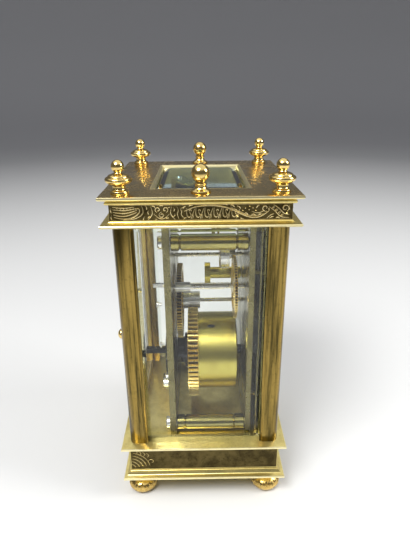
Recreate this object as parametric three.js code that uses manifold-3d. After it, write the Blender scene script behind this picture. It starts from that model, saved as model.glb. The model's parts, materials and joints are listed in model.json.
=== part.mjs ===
// A small French officer's travelling clock: a glazed brass case on bun feet, with six finials
// round a bevelled top window, and an eight-day lever movement standing open to view inside.
// Millimetres, +Z up, dial towards -Y, back door towards +Y, origin under the middle of the feet.

import * as THREE from 'three';
import { mergeVertices } from 'three/addons/utils/BufferGeometryUtils.js';
import Module from 'manifold-3d';

const wasm = await Module();
wasm.setup();

// Driving dimensions of the case
const caseWidth = 72.5;
const caseDepth = 64;
const footHeight = 9.5;
const baseHeight = 15.9;
const glazedHeight = 88.3;
const corniceHeight = 8.8;
const topPlateThickness = 1.2;

// Clearances that every fit shares
const gap = 0.3;
const overrun = 1;

// Base moulding, open underneath, with a floor that carries the movement
const plinthInset = 3;
const baseFloorThickness = 2.6;
const baseWall = 3.2;
const baseCornerBlock = 12;
const baseProfileShares = [
  [0, 0],
  [0, 0.075],
  [0.45, 0.09],
  [0.53, 0.11],
  [0.73, 0.16],
  [0.88, 0.18],
  [1, 0.2],
  [1, 0.89],
  [0.7, 0.92],
  [0, 0.94],
  [0, 1],
];

// Bun feet with a stud that runs up into the corner posts
const footRadius = 5.8;
const footInset = 7.05;
const studRadius = 1.2;
const footStudRise = 5;
const footProfileShares = [
  [0, 0],
  [0.5, 0],
  [0.86, 0.09],
  [1, 0.27],
  [0.92, 0.45],
  [0.6, 0.6],
  [0.42, 0.66],
  [0.42, 0.76],
  [0.66, 0.8],
  [0.66, 0.93],
  [0.5, 1],
];

// Corner posts: square in section, rounded outside, stepped beside the glass and grooved for it
const postWidth = 7.1;
const postInsetX = 3.15;
const postInsetY = 3.1;
const postRounding = 2.6;
const postStepWidth = 0.9;
const postStepDepth = 0.5;
const glassGrooveDepth = 1.5;
const postArcSteps = 5;

// Cornice frame and top plate
const corniceInset = 3;
const corniceProfileShares = [
  [0, 0],
  [0, 0.1],
  [0.7, 0.125],
  [0.87, 0.16],
  [1, 0.2],
  [1, 0.79],
  [0.83, 0.805],
  [0.66, 0.83],
  [0.62, 0.88],
  [0.68, 0.93],
  [1, 0.955],
  [1, 1],
];
const topPlateEdgeShares = [
  [1, 0],
  [0, 0.3],
  [0, 0.72],
  [1, 1],
];
const topPlateEdgeRounding = 0.45;

// Bevelled window in the top
const windowMarginX = 13.05;
const windowMarginY = 16.7;
const windowChamfer = 0.9;
const topGlassLip = 1.6;
const topGlassSlab = 1.6;
const topGlassRise = 1.1;
const topGlassBevel = 2.4;

// Finials: four turned urns at the corners and two balls at the middle of the sides
const finialInset = 6.3;
const urnRadius = 4.35;
const urnHeight = 10.5;
const urnProfileShares = [
  [0.71, 0],
  [0.71, 0.09],
  [0.5, 0.13],
  [0.43, 0.22],
  [0.5, 0.29],
  [0.8, 0.36],
  [1, 0.42],
  [0.95, 0.47],
  [0.78, 0.52],
  [0.66, 0.58],
  [0.29, 0.64],
  [0.4, 0.7],
  [0.48, 0.8],
  [0.4, 0.9],
  [0.2, 0.98],
  [0, 1],
];
const ballFinialRadius = 3.3;
const ballFinialHeight = 9;
const ballProfileShares = [
  [1, 0],
  [1, 0.09],
  [0.72, 0.13],
  [0.55, 0.22],
  [0.62, 0.31],
  [0.57, 0.42],
  [0.8, 0.54],
  [0.89, 0.67],
  [0.78, 0.83],
  [0.47, 0.95],
  [0, 1],
];
const finialStudDepth = 4;

// Bevelled glasses of the sides and the front
const glassThickness = 2.2;
const glassEdgeThickness = 0.9;
const glassBevel = 2.4;
const glassEntry = 1.2;
const sideGlassInset = 5.05;
const frontGlassInset = 5;

// Back door: a glazed brass frame that swings on two pins
const doorThickness = 3;
const doorInset = 4;
const doorBarWidth = 3.6;
const doorGlassThickness = 1.8;
const doorGlassEdge = 0.8;
const doorGlassBevel = 2.2;
const doorGlassLip = 1.1;
const doorPinRadius = 0.9;
const doorPinLength = 1.8;
const knobRadius = 1.9;
const knobReach = 3.2;
const knobPegRadius = 0.8;
const knobPegLength = 1.5;
const knobProfileShares = [
  [0.5, 0],
  [0.5, 0.14],
  [0.36, 0.2],
  [0.36, 0.34],
  [0.84, 0.46],
  [1, 0.66],
  [0.84, 0.86],
  [0.45, 1],
  [0, 1],
];

// Movement plates and pillars; depths are measured from the middle of the case towards the dial
const plateWidth = 55.5;
const plateSideClearance = 1.25;
const movementRoomDepth = 24.8;
const plateHeight = 85.4;
const backPlateBack = -13.2;
const backPlateThickness = 2.4;
const frontPlateBack = 16.4;
const frontPlateThickness = 2;
const pillarRadius = 2.9;
const pillarInsetX = 3.25;
const pillarInsetTop = 5.6;
const pillarInsetBottom = 3.6;
const pillarTenonRadius = 1.5;
const pillarScrewRadius = 1.2;
const pillarScrewLength = 4.5;
const pillarHeadRadius = 2.3;
const pillarHeadHeight = 1.5;
const screwSlotWidth = 0.7;
const screwSlotDepth = 0.6;
const pillarProfileShares = [
  [0.92, 0],
  [1, 0.03],
  [1, 0.1],
  [0.82, 0.115],
  [1, 0.13],
  [1, 0.83],
  [0.82, 0.845],
  [1, 0.86],
  [1, 0.97],
  [0.92, 1],
];

// Going train: tooth counts, modules and bearings round the dial centre
const dialCentreRise = 46.6;
const greatTeeth = 60;
const centrePinionLeaves = 10;
const greatModule = 0.62;
const centreTeeth = 72;
const thirdPinionLeaves = 8;
const centreModule = 0.42;
const thirdTeeth = 64;
const contratePinionLeaves = 8;
const thirdModule = 0.37;
const contrateTeeth = 50;
const escapePinionLeaves = 6;
const contrateModule = 0.208;
const barrelBearingDegrees = -101.5;
const thirdBearingDegrees = 137.3;
const contrateBearingDegrees = 48.9;

// Tooth form, as shares of the module and of the pitch
const wheelAddendumShare = 0.95;
const wheelDedendumShare = 1.2;
const wheelTipShare = 0.17;
const wheelRootShare = 0.56;
const pointedRootShare = 0.74;
const leafAddendumShare = 0.7;
const leafDedendumShare = 1.35;
const leafTipShare = 0.16;
const leafRootShare = 0.34;

// Depths of the train's pieces, towards the dial
const greatWheelBack = -5.8;
const greatWheelThickness = 4.1;
const drumFront = 13.6;
const drumRadius = 16;
const drumWall = 1.1;
const drumWebThickness = 1.2;
const barrelCapThickness = 1;
const barrelCapLip = 0.6;
const springHubRadius = 3.6;
const barrelPivotRadius = 1.8;
const barrelCollarRadius = 5.5;
const barrelFlangeRadius = 7.2;
const barrelFlangeThickness = 1.3;
const windingSquareWidth = 2.9;
const windingSquareReach = 24;
const ratchetSeatWidth = 3.6;
const mainspringThickness = 0.5;
const mainspringTurns = 5;
const mainspringStepsPerTurn = 12;
const centreWheelBack = -9.9;
const centreWheelThickness = 2;
const centrePinionFront = -0.8;
const arborRadius = 0.8;
const pivotRadius = 0.5;
const thirdPinionFront = -4.4;
const thirdBodyFront = 8.4;
const thirdBodyRadius = 1;
const thirdWheelBack = 12;
const thirdWheelThickness = 1;
const wheelRimWidth = 2.1;
const wheelHubRadius = 2.6;
const spokeWidth = 1.5;
const spokeCount = 4;
const contrateTipFront = 7.1;
const contrateRimDepth = 3.8;
const contrateWeb = 0.8;
const contrateRimWidth = 0.7;
const contratePinionLength = 2.2;

// Winding work outside the back plate
const ratchetTeeth = 24;
const ratchetRadius = 10;
const ratchetToothDepth = 1.1;
const ratchetThickness = 1.6;
const clickBearingDegrees = -148;
const clickReach = 9.5;
const clickTipWidth = 1.2;
const clickHubRadius = 2.1;
const clickScrewRadius = 1;
const clickScrewHeadHeight = 0.8;
const clickSpringThickness = 0.6;
const clickSpringLength = 10;
const clickSpringFootRadius = 1.8;
const clickSpringStandOff = 0.8;

// Motion work and hand setting in front of the front plate
const cannonLeaves = 12;
const minuteTeeth = 36;
const motionModule = 0.4;
const minutePinionLeaves = 10;
const hourTeeth = 40;
const minuteBearingDegrees = 20.2;
const settingBearingDegrees = -25.8;
const motionWheelThickness = 0.6;
const cannonRadius = 1.5;
const cannonBoreRadius = 1;
const centreTailRadius = 0.7;
const hourPipeRadius = 2.3;
const minuteStudRadius = 0.7;
const settingArborRadius = 1;
const settingSquareWidth = 1.7;
const settingReach = 22;
const settingSquareLength = 5;

// Dial, its brass backing and the hands
const dialBackingThickness = 0.6;
const dialThickness = 0.9;
const dialMargin = 2.15;
const dialWidth = plateWidth - 2 * dialMargin;
const dialFootRadius = 1;
const dialFootWidthShare = 0.86;
const dialFootHeightShare = 0.6;
const handThickness = 0.4;
const hourHandLength = 11.5;
const minuteHandLength = 17;
const handBossRadius = 3.4;
const handNutHeight = 0.5;
const hoursOnDial = 12;
const minutesInHour = 60;
const hourShown = 10;
const minuteShown = 10;

// Turned brass stud with a flange, fixed in the front plate
const studBodyRadius = 2.4;
const studFlangeRadius = 4.4;
const studFlangeThickness = 2.3;
const studFlangeBack = 1.3;
const studPlaceX = 3.9;
const studPlaceY = 10.6;

// Platform lever escapement on top of the plates
const platformThickness = 1.5;
const platformWidth = 35;
const escapeRadius = 3.9;
const escapeTeeth = 15;
const escapeToothDepth = 1.1;
const escapeThickness = 0.5;
const escapeRise = 1.2;
const escapePinionLength = 2.8;
const potenceWidth = 2.6;
const potenceFootThickness = 0.9;
const leverBearingDegrees = 75.5;
const palletDistanceShare = 1.36;
const palletArmShare = 0.86;
const leverLength = 5.2;
const leverWidth = 0.8;
const leverThickness = 0.5;
const forkWidth = 1.9;
const forkSlot = 0.7;
const forkDepth = 0.9;
const rollerRadius = 1.2;
const rollerPinRadius = 0.16;
const balanceOffset = 6.3;
const balanceRadius = 7.4;
const balanceRimWidth = 1;
const balanceRimHeight = 1.2;
const balanceArmWidth = 1.3;
const staffRadius = 0.4;
const hairspringInnerRadius = 1.2;
const hairspringOuterRadius = 4.5;
const hairspringThickness = 0.18;
const hairspringHeight = 0.4;
const hairspringTurns = 5;
const hairspringStepsPerTurn = 16;
const cockThickness = 1;
const cockWidth = 4.4;
const cockFootWidth = 5.5;
const cockBearingDegrees = 20;
const bridgeThickness = 0.7;
const bridgeWidth = 2;

// Facets round a full turn, by the size of the piece
const fineFacets = 28;
const turnedFacets = 12;
const smallFacets = 8;

const degrees = Math.PI / 180;

// Levels of the case, from the floor up
const baseTop = footHeight + baseHeight;
const corniceBottom = baseTop + glazedHeight;
const topPlateBottom = corniceBottom + corniceHeight;
const topPlateTop = topPlateBottom + topPlateThickness;
const halfWidth = caseWidth / 2;
const halfDepth = caseDepth / 2;
const dialCentreZ = baseTop + dialCentreRise;
const postX = halfWidth - postInsetX - postWidth / 2;
const postY = halfDepth - postInsetY - postWidth / 2;
const finialX = halfWidth - finialInset;
const finialY = halfDepth - finialInset;
const windowWidth = caseWidth - 2 * windowMarginX;
const windowDepth = caseDepth - 2 * windowMarginY;
const sideGlassOuter = halfWidth - sideGlassInset;
const frontGlassOuter = halfDepth - frontGlassInset;
// The movement is scaled to the room between the glasses
const movementRoomWidth = plateWidth / 2 + plateSideClearance;
const movementScale = Math.min(
  (sideGlassOuter - glassThickness) / movementRoomWidth,
  (frontGlassOuter - glassThickness) / movementRoomDepth,
);

// Materials, one for each piece
function metal(name, colour, roughness) {
  const material = new THREE.MeshStandardMaterial({ color: colour, roughness, metalness: 1 });
  material.name = name;
  return material;
}

const polishedBrass = { name: 'polished_brass', colour: 0xc9a24a, roughness: 0.22 };
const agedBrass = { name: 'aged_brass', colour: 0x8f7a3e, roughness: 0.4 };
const movementBrass = { name: 'movement_brass', colour: 0xb8a04e, roughness: 0.35 };
const steel = { name: 'polished_steel', colour: 0xb9bdc2, roughness: 0.25 };
const blueSteel = { name: 'blued_steel', colour: 0x1d2433, roughness: 0.35 };

function glassMaterial() {
  const material = new THREE.MeshStandardMaterial({ color: 0xcfe0d6, roughness: 0.05, metalness: 0 });
  material.name = 'bevelled_glass';
  material.transparent = true;
  material.opacity = 0.3;
  return material;
}

function enamelMaterial() {
  const material = new THREE.MeshStandardMaterial({ color: 0xf2efe6, roughness: 0.25, metalness: 0 });
  material.name = 'white_enamel';
  return material;
}

// Solids: closed three.js geometries turned into manifolds for joining and cutting
function signedVolume(positions, indices) {
  const a = new THREE.Vector3();
  const b = new THREE.Vector3();
  const c = new THREE.Vector3();
  let total = 0;
  for (let i = 0; i < indices.length; i += 3) {
    a.fromArray(positions, 3 * indices[i]);
    b.fromArray(positions, 3 * indices[i + 1]);
    c.fromArray(positions, 3 * indices[i + 2]);
    total += a.dot(b.cross(c));
  }
  return total;
}

function solidOf(geometry) {
  const plain = geometry.clone();
  plain.deleteAttribute('normal');
  plain.deleteAttribute('uv');
  const merged = mergeVertices(plain, 1e-5);
  const vertProperties = new Float32Array(merged.attributes.position.array);
  const triVerts = [];
  const index = merged.index.array;
  for (let i = 0; i < index.length; i += 3) {
    const [a, b, c] = [index[i], index[i + 1], index[i + 2]];
    if (a !== b && b !== c && c !== a) {
      triVerts.push(a, b, c);
    }
  }
  if (signedVolume(vertProperties, triVerts) < 0) {
    triVerts.reverse();
  }
  return new wasm.Manifold(
    new wasm.Mesh({ numProp: 3, vertProperties, triVerts: new Uint32Array(triVerts) }),
  );
}

function geometryOf(solid) {
  const mesh = solid.getMesh();
  const geometry = new THREE.BufferGeometry();
  geometry.setAttribute('position', new THREE.BufferAttribute(new Float32Array(mesh.vertProperties), 3));
  geometry.setIndex(new THREE.BufferAttribute(new Uint32Array(mesh.triVerts), 1));
  geometry.computeVertexNormals();
  return geometry;
}

function joined(first, ...others) {
  return others.reduce((sum, other) => sum.add(other), first);
}

function cut(body, ...tools) {
  return tools.reduce((rest, tool) => rest.subtract(tool), body);
}

// A box between two corners
function block(x0, x1, y0, y1, z0, z1) {
  const geometry = new THREE.BoxGeometry(x1 - x0, y1 - y0, z1 - z0);
  geometry.translate((x0 + x1) / 2, (y0 + y1) / 2, (z0 + z1) / 2);
  return solidOf(geometry);
}

// A profile of [radius, height] points, turned round the Z axis
function turned(points, facets) {
  const profile = points.map(([radius, height]) => new THREE.Vector2(radius, height));
  const geometry = new THREE.LatheGeometry(profile, facets);
  geometry.rotateX(Math.PI / 2);
  return solidOf(geometry);
}

function rod(radius, from, to, facets = smallFacets) {
  return turned([[0, from], [radius, from], [radius, to], [0, to]], facets);
}

function rodAt(x, y, radius, from, to, facets = smallFacets) {
  return rod(radius, from, to, facets).translate([x, y, 0]);
}

function scaledProfile(shares, radius, height, base = 0) {
  return shares.map(([r, h]) => [r * radius, base + h * height]);
}

// A flat shape given thickness between two heights
function extruded(shape, from, to, curveSegments = 6) {
  const geometry = new THREE.ExtrudeGeometry(shape, {
    depth: to - from,
    bevelEnabled: false,
    curveSegments,
  });
  geometry.translate(0, 0, from);
  return solidOf(geometry);
}

// A rectangular loft: every [inset, height] of the profile is one mitred ring
function rectangularLoft(halfX, halfY, profile) {
  const positions = [];
  const indices = [];
  for (const [inset, height] of profile) {
    const x = halfX - inset;
    const y = halfY - inset;
    positions.push(-x, -y, height, x, -y, height, x, y, height, -x, y, height);
  }
  for (let ring = 0; ring + 1 < profile.length; ring += 1) {
    for (let side = 0; side < 4; side += 1) {
      const a = 4 * ring + side;
      const b = 4 * ring + ((side + 1) % 4);
      indices.push(a, b, b + 4, a, b + 4, a + 4);
    }
  }
  const last = 4 * (profile.length - 1);
  indices.push(0, 2, 1, 0, 3, 2);
  indices.push(last, last + 1, last + 2, last, last + 2, last + 3);
  const geometry = new THREE.BufferGeometry();
  geometry.setAttribute('position', new THREE.Float32BufferAttribute(positions, 3));
  geometry.setIndex(indices);
  return solidOf(geometry);
}

// Teeth: a wheel's or pinion's outline from its tooth count and module
function gearOutline(teeth, module, phase, form) {
  const pitchRadius = (teeth * module) / 2;
  const rootRadius = pitchRadius - form.dedendum * module;
  const tipRadius = pitchRadius + form.addendum * module;
  const pitchAngle = (2 * Math.PI) / teeth;
  const points = [];
  for (let tooth = 0; tooth < teeth; tooth += 1) {
    const middle = phase + tooth * pitchAngle;
    const rootHalf = (form.root * pitchAngle) / 2;
    const tipHalf = (form.tip * pitchAngle) / 2;
    const tips = form.tip > 0 ? [middle - tipHalf, middle + tipHalf] : [middle];
    for (const [radius, angle] of [
      [rootRadius, middle - rootHalf],
      ...tips.map((tip) => [tipRadius, tip]),
      [rootRadius, middle + rootHalf],
    ]) {
      points.push(new THREE.Vector2(radius * Math.cos(angle), radius * Math.sin(angle)));
    }
  }
  return new THREE.Shape(points);
}

const wheelForm = {
  addendum: wheelAddendumShare,
  dedendum: wheelDedendumShare,
  tip: wheelTipShare,
  root: wheelRootShare,
};
const pointedForm = {
  addendum: wheelAddendumShare,
  dedendum: wheelDedendumShare,
  tip: 0,
  root: pointedRootShare,
};
const leafForm = {
  addendum: leafAddendumShare,
  dedendum: leafDedendumShare,
  tip: leafTipShare,
  root: leafRootShare,
};

function rootRadiusOf(teeth, module, form) {
  return (teeth * module) / 2 - form.dedendum * module;
}

// Windows between the spokes of a crossed-out wheel
function crossings(outerRadius, innerRadius, count, width, turn = 0) {
  const windows = [];
  for (let n = 0; n < count; n += 1) {
    const middle = turn + ((n + 0.5) * 2 * Math.PI) / count;
    const outerHalf = Math.PI / count - Math.asin(width / 2 / outerRadius);
    const innerHalf = Math.PI / count - Math.asin(width / 2 / innerRadius);
    const path = new THREE.Path();
    path.absarc(0, 0, outerRadius, middle - outerHalf, middle + outerHalf, false);
    path.absarc(0, 0, innerRadius, middle + innerHalf, middle - innerHalf, true);
    windows.push(path);
  }
  return windows;
}

// The phase that puts a follower's gap where its partner's tooth crosses the line of centres
function meshedPhase(teeth, phase, bearing, otherTeeth) {
  return bearing + Math.PI - (phase - bearing) * (teeth / otherTeeth) - Math.PI / otherTeeth;
}

// A flat spiral strip
function spiralShape(innerRadius, outerRadius, turns, stepsPerTurn, thickness) {
  const steps = turns * stepsPerTurn;
  const outer = [];
  const inner = [];
  for (let step = 0; step <= steps; step += 1) {
    const angle = (step / stepsPerTurn) * 2 * Math.PI;
    const radius = innerRadius + ((outerRadius - innerRadius) * step) / steps;
    outer.push(new THREE.Vector2((radius + thickness / 2) * Math.cos(angle), (radius + thickness / 2) * Math.sin(angle)));
    inner.push(new THREE.Vector2((radius - thickness / 2) * Math.cos(angle), (radius - thickness / 2) * Math.sin(angle)));
  }
  return new THREE.Shape([...outer, ...inner.reverse()]);
}

function spiralLeastGap(innerRadius, outerRadius, turns, stepsPerTurn, thickness) {
  const pitch = (outerRadius - innerRadius) / turns;
  return pitch * Math.cos(Math.PI / stepsPerTurn) - thickness;
}

// The scene: the case stands upright, the movement group is turned so that its Z faces the dial
const clock = new THREE.Group();
const movement = new THREE.Group();
movement.position.set(0, 0, baseTop + movementScale * dialCentreRise);
movement.rotation.x = Math.PI / 2;
const escapement = new THREE.Group();
escapement.position.set(0, 0, baseTop - movementScale * baseTop);
clock.add(movement, escapement);

function add(parent, name, solid, material, position = [0, 0, 0]) {
  const inMovement = parent !== clock;
  const sized = inMovement ? solid.scale(movementScale) : solid;
  const mesh = new THREE.Mesh(geometryOf(sized), material);
  mesh.name = name;
  mesh.position.set(...position);
  if (inMovement) mesh.position.multiplyScalar(movementScale);
  parent.add(mesh);
  return mesh;
}

function addMetal(parent, name, solid, finish, position) {
  return add(parent, name, solid, metal(finish.name, finish.colour, finish.roughness), position);
}

// Where the glass and the door stand
const doorOuter = halfDepth - doorInset;
const postInnerX = postX - postWidth / 2;
const postInnerY = postY - postWidth / 2;
const doorHalfWidth = postInnerX - gap;
const hingeX = doorHalfWidth - doorThickness / 2;
const hingeY = doorOuter - doorThickness / 2;
const corners = [
  ['front_left', -1, -1],
  ['front_right', 1, -1],
  ['back_left', -1, 1],
  ['back_right', 1, 1],
];

// Base plinth
function basePlinth() {
  const outside = rectangularLoft(
    halfWidth,
    halfDepth,
    scaledProfile(baseProfileShares, plinthInset, baseHeight, footHeight),
  );
  const innerX = halfWidth - plinthInset - baseWall;
  const innerY = halfDepth - plinthInset - baseWall;
  const ceiling = baseTop - baseFloorThickness;
  const low = footHeight - overrun;
  const along = block(-innerX, innerX, baseCornerBlock - innerY, innerY - baseCornerBlock, low, ceiling);
  const across = block(baseCornerBlock - innerX, innerX - baseCornerBlock, -innerY, innerY, low, ceiling);
  const studHoles = corners.map(([, sx, sy]) =>
    rodAt(sx * (halfWidth - footInset), sy * postY, studRadius + gap, low, baseTop + overrun),
  );
  const pinHole = rodAt(hingeX, hingeY, doorPinRadius + gap, baseTop - doorPinLength - gap, baseTop + overrun);
  return cut(outside, along, across, ...studHoles, pinHole);
}

function foot() {
  const top = baseTop + footStudRise;
  const profile = scaledProfile(footProfileShares, footRadius, footHeight);
  return turned([...profile, [studRadius, footHeight], [studRadius, top], [0, top]], turnedFacets);
}

// Corner posts, drawn for the corner at +X +Y and mirrored for the others
function postSection(hasSecondGroove) {
  const half = postWidth / 2;
  const rounded = half - postRounding;
  const set = half - postStepDepth;
  const stepEnd = half - postStepWidth;
  const shape = new THREE.Shape();
  const sideGroove = sideGlassOuter - postX;
  const frontGroove = frontGlassOuter - postY;
  shape.moveTo(-half, -half);
  shape.lineTo(sideGroove - glassThickness - gap, -half);
  shape.lineTo(sideGroove - glassThickness - gap, glassGrooveDepth - half);
  shape.lineTo(sideGroove + gap, glassGrooveDepth - half);
  shape.lineTo(sideGroove + gap, -half);
  shape.lineTo(set, -half);
  shape.lineTo(set, -stepEnd);
  shape.lineTo(half, -stepEnd);
  shape.absarc(rounded, rounded, postRounding, 0, Math.PI / 2, false);
  shape.lineTo(-stepEnd, half);
  shape.lineTo(-stepEnd, set);
  shape.lineTo(-half, set);
  if (hasSecondGroove) {
    shape.lineTo(-half, frontGroove + gap);
    shape.lineTo(glassGrooveDepth - half, frontGroove + gap);
    shape.lineTo(glassGrooveDepth - half, frontGroove - glassThickness - gap);
    shape.lineTo(-half, frontGroove - glassThickness - gap);
  }
  return shape;
}

function cornerPost(sx, sy) {
  const body = extruded(postSection(sy < 0), baseTop, corniceBottom, postArcSteps);
  const footHole = rodAt(
    halfWidth - footInset - postX,
    0,
    studRadius + gap,
    baseTop - overrun,
    baseTop + footStudRise + gap,
  );
  const finialHole = rodAt(
    finialX - postX,
    finialY - postY,
    studRadius + gap,
    corniceBottom - finialStudDepth - gap,
    corniceBottom + overrun,
  );
  return cut(body, footHole, finialHole).scale([sx, sy, 1]);
}

// Cornice frame with a ledge for the top glass
const ledgeHalfX = windowWidth / 2 + topGlassLip + gap;
const ledgeHalfY = windowDepth / 2 + topGlassLip + gap;
const topGlassBottom = topPlateBottom - gap - topGlassSlab;

function corniceFrame() {
  const outside = rectangularLoft(
    halfWidth,
    halfDepth,
    scaledProfile(corniceProfileShares, corniceInset, corniceHeight, corniceBottom),
  );
  const opening = block(
    -windowWidth / 2,
    windowWidth / 2,
    -windowDepth / 2,
    windowDepth / 2,
    corniceBottom - overrun,
    topPlateBottom + overrun,
  );
  const ledge = block(-ledgeHalfX, ledgeHalfX, -ledgeHalfY, ledgeHalfY, topGlassBottom, topPlateBottom + overrun);
  const studHoles = corners.map(([, sx, sy]) =>
    rodAt(sx * finialX, sy * finialY, studRadius + gap, corniceBottom - overrun, topPlateBottom + overrun),
  );
  const sideHoles = [-1, 1].map((side) =>
    rodAt(side * finialX, 0, studRadius + gap, topPlateBottom - finialStudDepth - gap, topPlateBottom + overrun),
  );
  const pinHole = rodAt(
    hingeX,
    hingeY,
    doorPinRadius + gap,
    corniceBottom - overrun,
    corniceBottom + doorPinLength + gap,
  );
  return cut(outside, opening, ledge, ...studHoles, ...sideHoles, pinHole);
}

function topPlate() {
  const outside = rectangularLoft(
    halfWidth,
    halfDepth,
    scaledProfile(topPlateEdgeShares, topPlateEdgeRounding, topPlateThickness, topPlateBottom),
  );
  const window = rectangularLoft(windowWidth / 2 + windowChamfer, windowDepth / 2 + windowChamfer, [
    [windowChamfer, topPlateBottom - overrun],
    [windowChamfer, topPlateBottom],
    [0, topPlateTop],
    [0, topPlateTop + overrun],
  ]);
  const places = [...corners.map(([, sx, sy]) => [sx * finialX, sy * finialY]), [-finialX, 0], [finialX, 0]];
  const holes = places.map(([x, y]) =>
    rodAt(x, y, studRadius + gap, topPlateBottom - overrun, topPlateTop + overrun),
  );
  return cut(outside, window, ...holes);
}

function topGlass() {
  const lip = topGlassLip + gap;
  return rectangularLoft(windowWidth / 2 + topGlassLip, windowDepth / 2 + topGlassLip, [
    [0, topGlassBottom],
    [0, topGlassBottom + topGlassSlab],
    [lip, topGlassBottom + topGlassSlab],
    [lip, topPlateBottom],
    [lip + topGlassBevel, topGlassBottom + topGlassSlab + topGlassRise],
  ]);
}

function finial(shares, radius, height, studEnd) {
  const profile = scaledProfile(shares, radius, height, topPlateTop);
  return turned([[0, studEnd], [studRadius, studEnd], [studRadius, topPlateTop], ...profile], turnedFacets);
}

// Bevelled glass, drawn flat with its bevelled face up
function bevelledGlass(halfX, halfY, thickness, edge, bevel) {
  return rectangularLoft(halfX, halfY, [
    [0, 0],
    [0, edge],
    [bevel, thickness],
  ]);
}

function addGlass(name, halfX, halfY, thickness, edge, bevel, position, rotation) {
  const glass = add(clock, name, bevelledGlass(halfX, halfY, thickness, edge, bevel), glassMaterial(), position);
  glass.rotation.set(...rotation);
}

// Back door
const doorBottom = baseTop + gap;
const doorTop = corniceBottom - gap;

function backDoorFrame() {
  const plan = new THREE.Shape();
  const half = doorThickness / 2;
  plan.moveTo(-doorHalfWidth, hingeY - half);
  plan.lineTo(hingeX, hingeY - half);
  plan.absarc(hingeX, hingeY, half, -Math.PI / 2, Math.PI / 2, false);
  plan.lineTo(-doorHalfWidth, hingeY + half);
  const body = extruded(plan, doorBottom, doorTop, turnedFacets);
  const openX = doorHalfWidth - doorBarWidth;
  const openBottom = doorBottom + doorBarWidth;
  const openTop = doorTop - doorBarWidth;
  const opening = block(-openX, openX, hingeY - doorThickness, hingeY + doorThickness, openBottom, openTop);
  const rebate = block(
    -openX - doorGlassLip,
    openX + doorGlassLip,
    hingeY - doorThickness,
    hingeY - half + doorGlassThickness + gap,
    openBottom - doorGlassLip,
    openTop + doorGlassLip,
  );
  const pins = joined(
    rodAt(hingeX, hingeY, doorPinRadius, doorBottom - doorPinLength, doorBottom + doorPinRadius),
    rodAt(hingeX, hingeY, doorPinRadius, doorTop - doorPinRadius, doorTop + doorPinLength),
  );
  const peg = solidOf(
    new THREE.CylinderGeometry(knobPegRadius + gap, knobPegRadius + gap, 2 * (knobPegLength + gap), smallFacets),
  ).translate([doorBarWidth / 2 - doorHalfWidth, doorOuter, (doorBottom + doorTop) / 2]);
  return cut(joined(cut(body, opening, rebate), pins), peg);
}

function doorKnob() {
  const profile = scaledProfile(knobProfileShares, knobRadius, knobReach, gap);
  const peg = [[0, -knobPegLength], [knobPegRadius, -knobPegLength], [knobPegRadius, gap]];
  return turned([...peg, ...profile], turnedFacets);
}

// Case pieces
addMetal(clock, 'base_plinth', basePlinth(), polishedBrass);
for (const [corner, sx, sy] of corners) {
  addMetal(clock, `foot_${corner}`, foot(), polishedBrass, [sx * (halfWidth - footInset), sy * postY, 0]);
  addMetal(clock, `corner_post_${corner}`, cornerPost(sx, sy), polishedBrass, [sx * postX, sy * postY, 0]);
  addMetal(
    clock,
    `corner_finial_${corner}`,
    finial(urnProfileShares, urnRadius, urnHeight, corniceBottom - finialStudDepth),
    polishedBrass,
    [sx * finialX, sy * finialY, 0],
  );
}
for (const [side, sx] of [['left', -1], ['right', 1]]) {
  addMetal(
    clock,
    `ball_finial_${side}`,
    finial(ballProfileShares, ballFinialRadius, ballFinialHeight, topPlateBottom - finialStudDepth),
    polishedBrass,
    [sx * finialX, 0, 0],
  );
}
addMetal(clock, 'cornice_frame', corniceFrame(), agedBrass);
addMetal(clock, 'top_plate', topPlate(), polishedBrass);
add(clock, 'top_glass', topGlass(), glassMaterial());
const glassHalfHeight = glazedHeight / 2 - gap;
const glassMiddle = baseTop + glazedHeight / 2;
const sideGlassInner = sideGlassOuter - glassThickness;
for (const [side, sx] of [['left', -1], ['right', 1]]) {
  addGlass(
    `side_glass_${side}`,
    glassHalfHeight,
    postInnerY + glassEntry,
    glassThickness,
    glassEdgeThickness,
    glassBevel,
    [sx * sideGlassInner, 0, glassMiddle],
    [0, (sx * Math.PI) / 2, 0],
  );
}
addGlass(
  'front_glass',
  postInnerX + glassEntry,
  glassHalfHeight,
  glassThickness,
  glassEdgeThickness,
  glassBevel,
  [0, glassThickness - frontGlassOuter, glassMiddle],
  [Math.PI / 2, 0, 0],
);
addMetal(clock, 'back_door_frame', backDoorFrame(), polishedBrass);
const doorGlassHalfX = doorHalfWidth - doorBarWidth + doorGlassLip - gap;
const doorGlassHalfZ = (doorTop - doorBottom) / 2 - doorBarWidth + doorGlassLip - gap;
addGlass(
  'back_door_glass',
  doorGlassHalfX,
  doorGlassHalfZ,
  doorGlassThickness,
  doorGlassEdge,
  doorGlassBevel,
  [0, hingeY - doorThickness / 2, glassMiddle],
  [-Math.PI / 2, 0, 0],
);
const knob = addMetal(clock, 'back_door_knob', doorKnob(), polishedBrass, [
  doorBarWidth / 2 - doorHalfWidth,
  doorOuter,
  (doorBottom + doorTop) / 2,
]);
knob.rotation.x = -Math.PI / 2;

// Movement layout round the dial centre: X to the right of the dial, Y up, Z towards the dial
function stepFrom([x, y], distance, bearingDegrees) {
  return [
    x + distance * Math.cos(bearingDegrees * degrees),
    y + distance * Math.sin(bearingDegrees * degrees),
  ];
}

function centreDistance(teeth, leaves, module) {
  return ((teeth + leaves) * module) / 2;
}

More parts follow.
